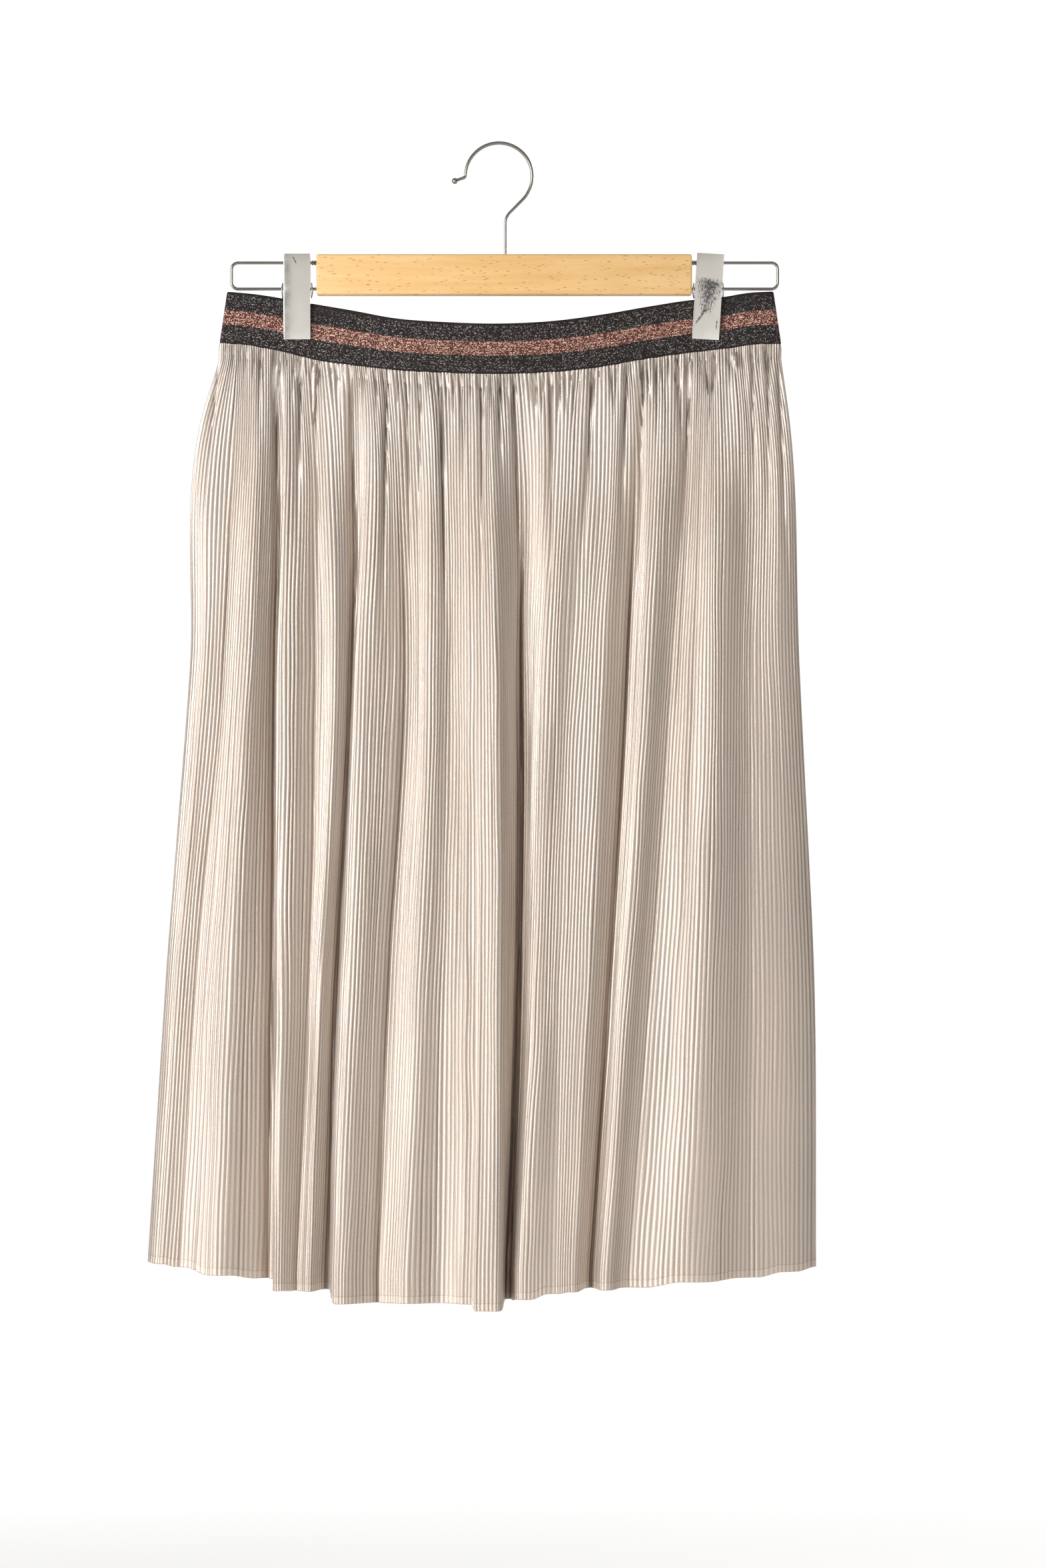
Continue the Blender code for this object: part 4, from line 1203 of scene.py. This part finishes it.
def deep_dips(count, down, seed):
    """From 0 to 1 at each column: which dips between two pleats are deep at this height."""
    pleat = np.arange(count) // COLUMNS_A_PLEAT
    grid = np.random.default_rng(seed).uniform(0.0, 1.0, (DEEP_DIP_CELLS + 2, pleat[-1] + 1))
    place = down + DEEP_DIP_SHIFT * np.sin(DEEP_DIP_WAVE * pleat)
    place = place.clip(0.0, 1.0) * DEEP_DIP_CELLS
    upper = place.astype(int)
    share = grid[upper, pleat] * (1 - place + upper) + grid[upper + 1, pleat] * (place - upper)
    deep = np.clip((share - 1 + DEEP_DIP_CHANCE) / DEEP_DIP_CHANCE, 0.0, 1.0)
    return np.where(np.arange(count) % COLUMNS_A_PLEAT == 0, deep, 0.0)


def panel_faces(rows, count, inner_rows, inner_count, kept_rows):
    """The faces of a panel's shell: its outside, its inside, and the edges that join them."""
    start = rows * count

    def outer_point(row, k):
        return row * count + k

    def inner_point(row, k):
        return start + row * inner_count + k

    faces = []
    for row in range(rows - 1):
        for k in range(count - 1):
            faces.append((
                outer_point(row, k), outer_point(row + 1, k),
                outer_point(row + 1, k + 1), outer_point(row, k + 1),
            ))
    for row in range(inner_rows - 1):
        for k in range(inner_count - 1):
            faces.append((
                inner_point(row, k), inner_point(row, k + 1),
                inner_point(row + 1, k + 1), inner_point(row + 1, k),
            ))
    for row, inner_row, turned in ((0, 0, False), (rows - 1, inner_rows - 1, True)):
        for k in range(inner_count - 1):
            left, middle, right = (outer_point(row, 2 * k + step) for step in range(3))
            near, far = inner_point(inner_row, k), inner_point(inner_row, k + 1)
            rim = [(left, middle, near), (near, middle, far), (far, middle, right)]
            faces += [face[::-1] for face in rim] if turned else rim
    for k, inner_k, turned in ((0, 0, False), (count - 1, inner_count - 1, True)):
        for low, (upper, lower) in enumerate(zip(kept_rows, kept_rows[1:])):
            side = [outer_point(row, k) for row in range(lower, upper - 1, -1)]
            side += [inner_point(low, inner_k), inner_point(low + 1, inner_k)]
            faces.append(tuple(side[::-1] if turned else side))
    return faces


def make_panel(name, folds, creases, cut, facing, seed):
    """A gathered panel: fine pleats outside, and the same pleats, more coarsely, inside."""
    pleats = round(cut[0] / PLEAT_PITCH)
    rows = cloth_rows()
    length = cut[1]
    outside = []
    inside = []
    crests = []
    recesses = []
    creases = with_short_creases(creases, seed + 9)
    lines, fold_columns = panel_middle(folds, rows, pleats)
    for row, down in zip(lines, rows):
        row, along = wandered(row, down, seed)
        normals = wall_normals(row[:, :2], closed=False)
        normals[0] = (-1.0, 0.0)
        normals[-1] = (1.0, 0.0)
        count = len(row)
        across = np.linspace(0.0, 1.0, count)
        rise, crest = pleat_rise(count, down, seed)
        fallen = down * length
        gathers = GATHER_RIPPLE * max(0.0, 1 - fallen / GATHER_FALL)
        shape = gathers * soft_noise(seed + 4, across, fallen / GATHER_FALL, *GATHER_CELLS)
        crumple = CRUMPLE * min(1.0, down / CRUMPLE_FALL)
        shape = shape + crumple * soft_noise(seed + 5, across, down, *CRUMPLE_CELLS)
        drawn, recess = crease_depth(creases, row[:, 0], fallen)
        fold_drawn, fold_recess = fold_crease_depth(folds, fold_columns, along, down)
        deep = (1 - 0.5 * down) * deep_dips(count, down, seed + 8)
        creased = min(1.0, SEAM_CREASE + fallen / SEAM_CREASE_FALL)
        shape = shape - drawn * creased - fold_drawn - DEEP_DIP * deep
        shape = shape * off_seams(across, CRUMPLE_STOP)
        # Painted shade: in the creases, at the fold bottoms, in the deep dips and between the pleats
        # under the seam
        between = math.exp(-fallen / SEAM_SHADE_FALL) * np.clip(0.4 - crest, 0.0, 1.0)
        recesses.append(np.maximum.reduce([
            recess, fold_recess, DEEP_DIP_SHADE * deep, SEAM_SHADE * between
        ]))
        tucked = min(1.0, SEAM_TUCK + fallen / SEAM_TUCK_FALL)
        for side_rows, side in ((outside, 1), (inside, -1)):
            out = (rise + shape) * tucked + side * CLOTH_WALL / 2
            plan = row[:, :2] + normals * out[:, None]
            side_rows.append(np.column_stack([plan[:, 0], -facing * plan[:, 1], row[:, 2]]))
        crests.append(0.5 + 0.5 * crest)
    count = len(outside[0])
    inner_rows = sorted(set(range(0, len(rows), INNER_STEP)) | {1, len(rows) - 2, len(rows) - 1})
    inner_columns = np.arange(0, count, 2)
    points = np.concatenate(outside + [inside[k][inner_columns] for k in inner_rows])
    u = np.arange(count) * cut[0] / (count - 1)
    uv = [np.column_stack([u, np.full(count, down * length)]) for down in rows]
    uv += [
        np.column_stack([u[inner_columns], np.full(len(inner_columns), rows[k] * length)])
        for k in inner_rows
    ]
    crest, recess = (
        np.concatenate(value + [value[k][inner_columns] for k in inner_rows])
        for value in (crests, recesses)
    )
    faces = panel_faces(len(rows), count, len(inner_rows), len(inner_columns), inner_rows)
    if facing > 0:
        faces = [face[::-1] for face in faces]
    return cloth_object(name, points, faces, np.concatenate(uv), crest=crest, recess=recess)


def plisse_finish():
    """Foil over beige jersey: bright where the pleats crest, browner in dips and dark in creases.

    The brown of the dips and the dark of the creases are painted shade.
    """
    material, shader = new_finish("foil_plisse", CREST_COLOR, 0.36, 0.62)
    uv = add_node(material, "UVMap", uv_map="cloth").outputs[0]
    crest = add_node(material, "Attribute", attribute_name="crest").outputs["Fac"]
    broad = add_node(material, "TexNoise", {"Vector": uv, "Scale": 9.0, "Detail": 2.0})
    grains = add_node(material, "Mapping", {"Vector": uv, "Scale": FOIL_SCALE})
    foil = add_node(
        material, "TexNoise", {"Vector": grains.outputs[0], "Scale": 1.0, "Detail": 2.0},
        noise_dimensions="2D",
    )
    # Painted glints: specks of the foil's grain are lightened toward the crest color
    painted_glints = remap(material, foil.outputs["Fac"], 0.35, 0.65)
    painted_glints = math_node(material, "MULTIPLY", painted_glints, GLINT_SHARE)
    shade = math_node(material, "ADD", math_node(material, "MULTIPLY", crest, 0.75), painted_glints, clamp=True)
    # Painted shade: the dips between the pleats are mixed toward the darker color
    color = mix_colors(material, shade, DIP_SHADE_COLOR, CREST_COLOR)
    warm = spread_noise(material, broad, 0.0, WARMEST_PATCH)
    color = mix_colors(material, warm, color, WARM_COLOR)
    down = add_node(material, "SeparateXYZ", {"Vector": uv}).outputs["Y"]
    # Painted highlight on the crests at the gathers
    gather_highlight = math_node(material, "MULTIPLY", remap(material, down, *GATHER_HIGHLIGHT_FALL), crest)
    color = tint_where(material, gather_highlight, GATHER_HIGHLIGHT_SHARE, color, GATHER_HIGHLIGHT_COLOR)
    hem_line = CLOTH_LENGTH - HEM_TURN
    turned_up = remap(material, down, hem_line, hem_line + 0.2 * MM)
    color = tint_where(material, turned_up, HEM_TINT, color, WARM_COLOR)
    off_line = math_node(material, "SUBTRACT", down, hem_line)
    stitches = remap(material, math_node(material, "ABSOLUTE", off_line), 0.5 * MM, 0.2 * MM)
    color = tint_where(material, stitches, STITCH_SHADE, color, DIP_SHADE_COLOR)
    # Painted shade: darker toward this color in the creases, fold bottoms, deep dips and under the
    # seam
    recess = add_node(material, "Attribute", attribute_name="recess").outputs["Fac"]
    color = tint_where(material, recess, PAINTED_SHADE_SHARE, color, PAINTED_SHADE_COLOR)
    knit = add_node(
        material, "TexWave", {"Vector": uv, "Scale": KNIT_SCALE, "Distortion": 1.5},
        bands_direction="Y",
    )
    knitted = math_node(material, "MULTIPLY", knit.outputs["Fac"], 0.25)
    height = math_node(material, "ADD", foil.outputs["Fac"], knitted)
    bump = add_node(material, "Bump", {"Strength": 0.6, "Distance": 0.2 * MM, "Height": height})
    link_to(
        material, shader,
        Base_Color=color,
        Roughness=spread_noise(material, foil, *FOIL_ROUGHNESS),
        Normal=bump.outputs[0],
    )
    return material


plisse = plisse_finish()
front = make_panel("skirt_front_cloth", FRONT_FOLDS, FRONT_CREASES, FRONT_CUT, -1.0, 11)
back = make_panel("skirt_back_cloth", BACK_FOLDS, BACK_CREASES, BACK_CUT, 1.0, 31)
for panel, cad_node, cut in ((front, "skirt_front", FRONT_CUT), (back, "skirt_back", BACK_CUT)):
    finish_piece(panel, plisse, "plisse", cad_node)


# Room
# A pale matt floor well below the hem, which fades into a white backdrop all round. One large soft
# box lights the front from its left and another the back, with pale cards to fill their shadows.
# A brighter ceiling and the walls of the room add a little.
FLOOR_Z = -1.65
FLOOR_SIZE = 9.0
FLOOR_COLOR = (0.8, 0.795, 0.785, 1.0)
FLOOR_ROUGHNESS = (0.85, 0.95)
# How far from its middle the floor starts to fade, and where it has become the backdrop
FLOOR_FADE = (1.7, 4.1)
NO_COLOR = (0.0, 0.0, 0.0, 1.0)
BACKDROP_LIGHT = 1.02
WALL_LIGHT = 0.16
BEHIND_LIGHT = 0.5
CEILING_LIGHT = 0.45
PURE_WHITE = (1.0, 1.0, 1.0)
WARM_WHITE = (1.0, 0.955, 0.91)
# How far a direction turns to the wall behind, or up, where the light from there starts and is full
ROOM_TURN = (0.45, 0.85)
# Each light's name, place, width, power in watts and color
LIGHTS = (
    ("key", (-2.3, -2.2, 0.05), 1.9, 88.0, PURE_WHITE),
    ("card", (0.4, -4.4, -0.4), 3.0, 13.0, WARM_WHITE),
    ("fill", (2.3, -2.5, 0.0), 2.2, 12.0, WARM_WHITE),
    ("back key", (2.0, 2.9, 0.2), 1.9, 76.0, PURE_WHITE),
    ("back fill", (-2.4, 2.4, 0.0), 2.2, 8.0, WARM_WHITE),
)
AIM = (0.0, 0.0, -0.45)

floor_finish, floor_shader = new_finish("pale_floor", FLOOR_COLOR, 0.9, 0.0)
floor_place = add_node(floor_finish, "TexCoord").outputs["Object"]
floor_mottle = add_node(floor_finish, "TexNoise", {"Vector": floor_place, "Scale": 3.0})
floor_away = add_node(floor_finish, "VectorMath", {0: floor_place}, operation="LENGTH")
floor_fade = remap(floor_finish, floor_away.outputs["Value"], *FLOOR_FADE)
link_to(
    floor_finish, floor_shader,
    Base_Color=mix_colors(floor_finish, floor_fade, FLOOR_COLOR, NO_COLOR),
    Roughness=spread_noise(floor_finish, floor_mottle, *FLOOR_ROUGHNESS),
    Emission_Strength=math_node(floor_finish, "MULTIPLY", floor_fade, BACKDROP_LIGHT),
)
floor_shader.inputs["Emission Color"].default_value = (*PURE_WHITE, 1.0)
bpy.ops.object.select_all(action="DESELECT")
bpy.ops.mesh.primitive_plane_add(size=FLOOR_SIZE, location=(0.0, 0.0, FLOOR_Z))
floor = bpy.context.object
floor.name = "floor"
floor.data.materials.append(floor_finish)

for name, place, size, power, color in LIGHTS:
    bpy.ops.object.light_add(type="AREA", location=place)
    lamp = bpy.context.object
    lamp.name = name
    lamp.data.size = size
    lamp.data.energy = power
    lamp.data.color = color
    way = np.array(place) - np.array(AIM)
    lamp.rotation_euler = (
        math.atan2(math.hypot(way[0], way[1]), way[2]), 0.0, math.atan2(way[0], -way[1])
    )

room = bpy.data.worlds.new("white_room")
room.use_nodes = True
bpy.context.scene.world = room
direction = add_node(room, "TexCoord").outputs["Generated"]
parts = add_node(room, "SeparateXYZ", {"Vector": direction})
walls = remap(room, parts.outputs["Y"], *ROOM_TURN, WALL_LIGHT, BEHIND_LIGHT)
ceiling = remap(room, parts.outputs["Z"], *ROOM_TURN, 0.0, CEILING_LIGHT)
walls = math_node(room, "ADD", walls, ceiling)
seen = add_node(room, "LightPath").outputs["Is Camera Ray"]
light = add_node(room, "Mix", {0: seen, 2: walls, 3: BACKDROP_LIGHT}).outputs[0]
background = room.node_tree.nodes["Background"]
tint = mix_colors(room, seen, (*WARM_WHITE, 1.0), (*PURE_WHITE, 1.0))
room.node_tree.links.new(tint, background.inputs["Color"])
room.node_tree.links.new(light, background.inputs["Strength"])
bpy.context.scene.view_settings.view_transform = "Standard"
